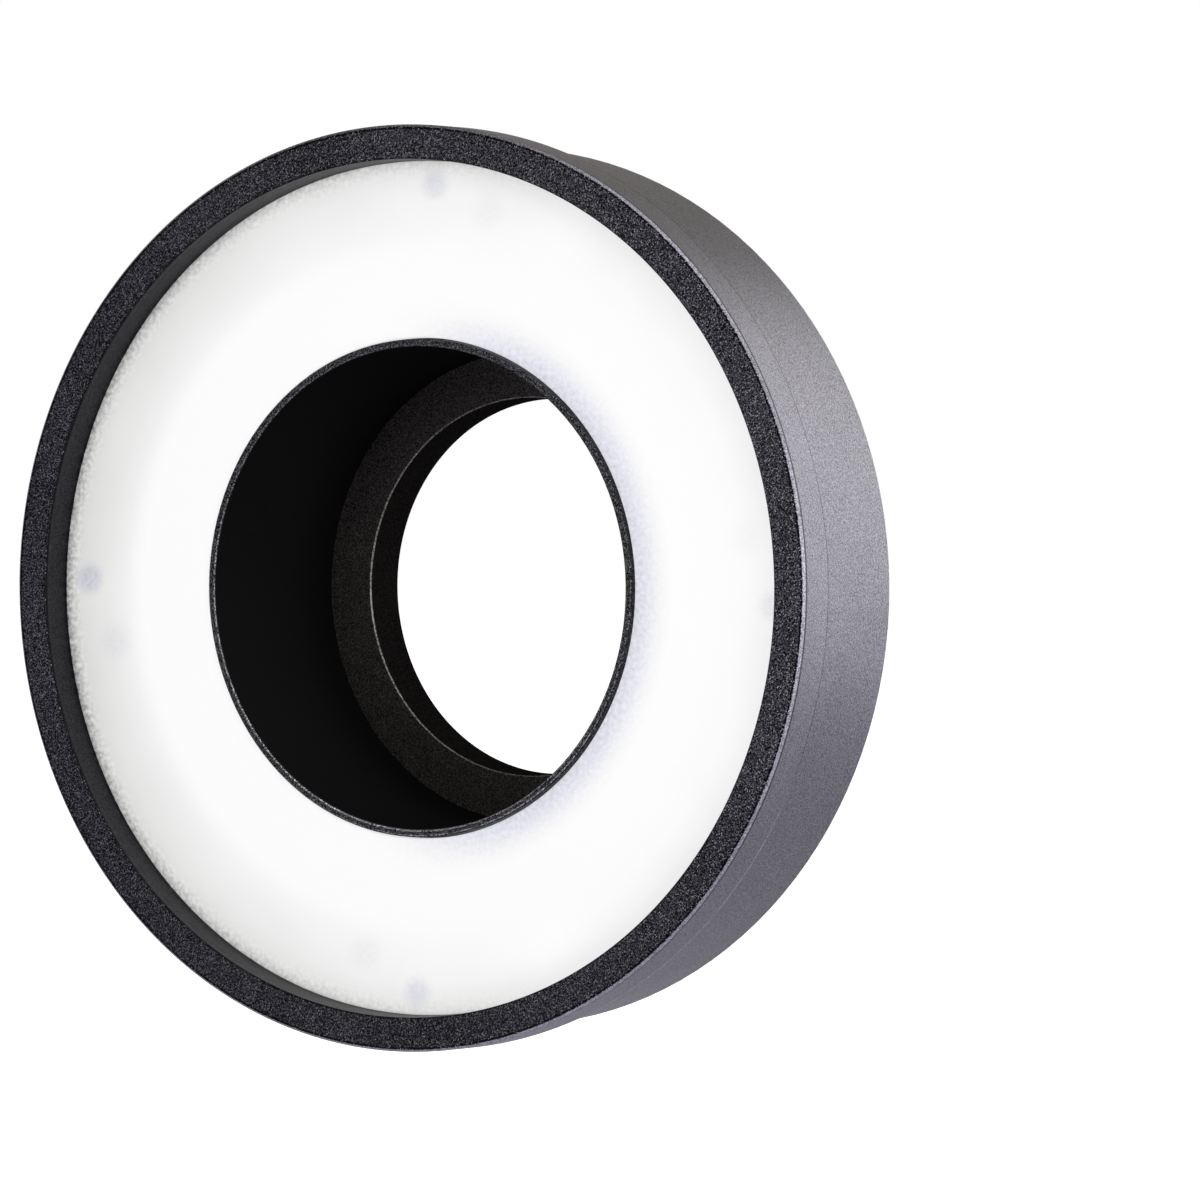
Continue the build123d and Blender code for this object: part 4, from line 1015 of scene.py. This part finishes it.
def make_coil():
    """Wound coil: a sleeve with the ridges of its wire, one helical turn beside the other."""
    turns = 0.62 * MM
    coil = on_ring(coil_circle, coil_angle, 0)
    foot, head = low("inductor_winding").y, high("inductor_winding").y
    heights = np.linspace(foot, head, 50)
    outer = np.stack([np.full_like(heights, 4.6 * MM), heights], -1)
    inner = np.array([[2.45 * MM, head], [2.45 * MM, foot]])

    def wires(r, h, t):
        """Radius, outside less 0.16 (1 - |sin pi (h / 0.62 - t / 2 pi)|) millimetres between the turns."""
        ridge = np.abs(np.sin(pi * ((h - foot) / turns - t / (2 * pi))))
        return np.where(r > 4 * MM, r - 0.16 * MM * (1 - ridge), r)

    shell = turned(np.vstack([outer, inner]), coil, (0, 1, 0), 96, wires)
    piece("coil_wire", [shell], "lamp", "copper_wire", ["inductor_winding"])


def make_cans():
    """Capacitor cans: turned shells, each with a pinch above its foot and a sunk top."""
    foot, head = low("capacitors").y, high("capacitors").y
    radius = 3.15 * MM
    profile = rounded([
        (0, foot, 0), (radius, foot, 0.25 * MM), (radius, foot + 0.8 * MM, 0.1 * MM),
        (radius - 0.25 * MM, foot + 1.1 * MM, 0.2 * MM), (radius, foot + 1.4 * MM, 0.1 * MM),
        (radius, head, 0.35 * MM), (radius - 0.8 * MM, head, 0.1 * MM),
        (radius - 0.9 * MM, head - 0.15 * MM, 0.1 * MM), (0, head - 0.15 * MM, 0),
    ], closed=False)
    shells = [
        turned(profile, on_ring(can_circle, angle, 0), (0, 1, 0), 64, closed=False) for angle in can_angles
    ]
    piece("capacitor_cans", shells, "lamp", "capacitor_metal", ["capacitors"])


make_bezel()
make_diffuser()
make_adapter()
make_lock_screws()
make_switch()
make_rocker()
make_print()
make_pointer()
make_inlet()
make_led_windows()
make_coil()
make_cans()


# Stage: floor, world, lamps and camera

world_colour = (0.38, 0.38, 0.39)
backdrop_low = (0.43, 0.42, 0.57)
backdrop_high = (0.56, 0.525, 0.46)
front_left_colour = (0.09, 0.09, 0.087)
front_right_colour = (0.55, 0.55, 0.56)
floor_gap, floor_half = 0.08, 4.0
camera_lens = 241.11
camera_place = Vector((0.644442, -1.027447, 0.034996))
camera_turn = (88.31087, -1.92325, 30.72361)


def seen_directly(tree, path):
    """Mask of the rays that the picture sees, straight or through something clear."""
    return maths(tree, "MAXIMUM", path.outputs["Is Camera Ray"], path.outputs["Is Transmission Ray"])


def make_floor():
    """Pale floor well below the ring, near white in the picture, with a soft shadow kept on it."""
    height = cad_box[0][2] - floor_gap
    mesh = bpy.data.meshes.new("floor")
    corners = [(a * floor_half, b * floor_half, height) for a, b in ((-1, -1), (1, -1), (1, 1), (-1, 1))]
    mesh.from_pydata(corners, [], [(0, 1, 2, 3)])
    made = bpy.data.objects.new("floor", mesh)
    bpy.context.scene.collection.objects.link(made)
    paint, tree, shader = finish_of(
        "floor_paint", Roughness=0.9, Base_Color=(0.82, 0.815, 0.86), Emission_Strength=1.0
    )
    path = node(tree, "ShaderNodeLightPath")
    mirrored = path.outputs["Is Glossy Ray"]
    seen = maths(tree, "MULTIPLY_ADD", mirrored, 0.25, seen_directly(tree, path))
    place = node(tree, "ShaderNodeTexCoord").outputs["Object"]
    reach = node(tree, "ShaderNodeVectorMath", {0: place}, operation="LENGTH").outputs["Value"]
    level = times(tree, seen, ramp(tree, reach, 0.3, 0.8, 0.40, 0.80))
    tint = mixed(tree, mirrored, (1, 1, 1), (0.92, 0.90, 1.35))
    give(tree, shader, Emission_Color=mixed(tree, level, (0, 0, 0), tint))
    mesh.materials.append(paint)


def make_world():
    """Even grey light, plain white in the picture, with a pale backdrop that the ring's metal mirrors."""
    world = bpy.data.worlds.new("studio")
    bpy.context.scene.world = world
    world.use_nodes = True
    tree = world.node_tree
    path = node(tree, "ShaderNodeLightPath")
    towards = node(tree, "ShaderNodeTexCoord").outputs["Generated"]
    xyz = node(tree, "ShaderNodeSeparateXYZ", {0: towards}).outputs
    pale = mixed(tree, ramp(tree, xyz[2], -0.5, 0.5), backdrop_low, backdrop_high)
    front_side = mixed(tree, ramp(tree, xyz[0], -0.6, 0.9), front_left_colour, front_right_colour)
    in_metal = mixed(tree, ramp(tree, xyz[1], -0.1, 0.5), front_side, pale)
    light = mixed(tree, path.outputs["Is Glossy Ray"], world_colour, in_metal)
    plain = mixed(tree, seen_directly(tree, path), light, (1.0, 1.0, 1.0))
    give(tree, tree.nodes["Background"], Color=plain)


def make_lamp(name, place, aim, size, power, colour=(1, 1, 1)):
    """Soft square lamp at a place, turned to a point."""
    data = bpy.data.lights.new(name, "AREA")
    data.size, data.energy, data.color = size, power, colour
    made = bpy.data.objects.new(name, data)
    made.location = place
    made.rotation_euler = (Vector(aim) - Vector(place)).to_track_quat("-Z", "Y").to_euler()
    bpy.context.scene.collection.objects.link(made)


def make_camera():
    """View at the photograph's angle: about 32 degrees to the ring's right, nearly level."""
    data = bpy.data.cameras.new("camera")
    data.sensor_width = 36.0
    data.lens = camera_lens
    data.clip_start, data.clip_end = 0.05, 20.0
    made = bpy.data.objects.new("camera", data)
    made.location = Vector((0, front, 0)) + camera_place
    made.rotation_euler = Euler([radians(a) for a in camera_turn], "XYZ")
    bpy.context.scene.collection.objects.link(made)
    bpy.context.scene.camera = made


make_floor()
make_world()
make_lamp("back_right_lamp", (0.52, 1.04, 0.28), (0, 0, 0), 0.95, 11.3)
make_lamp("front_right_lamp", (1.02, -0.64, 0.15), (0, 0, 0), 0.55, 6.0)
make_lamp("front_left_lamp", (0.06, -0.40, 0.18), (0, front, 0), 0.2, 0.52, (1.0, 0.985, 0.94))
make_lamp("top_lamp", (0.35, -0.42, 1.0), (0, 0, 0), 0.7, 4.6)
make_camera()
scene = bpy.context.scene
scene.view_settings.view_transform = "Standard"
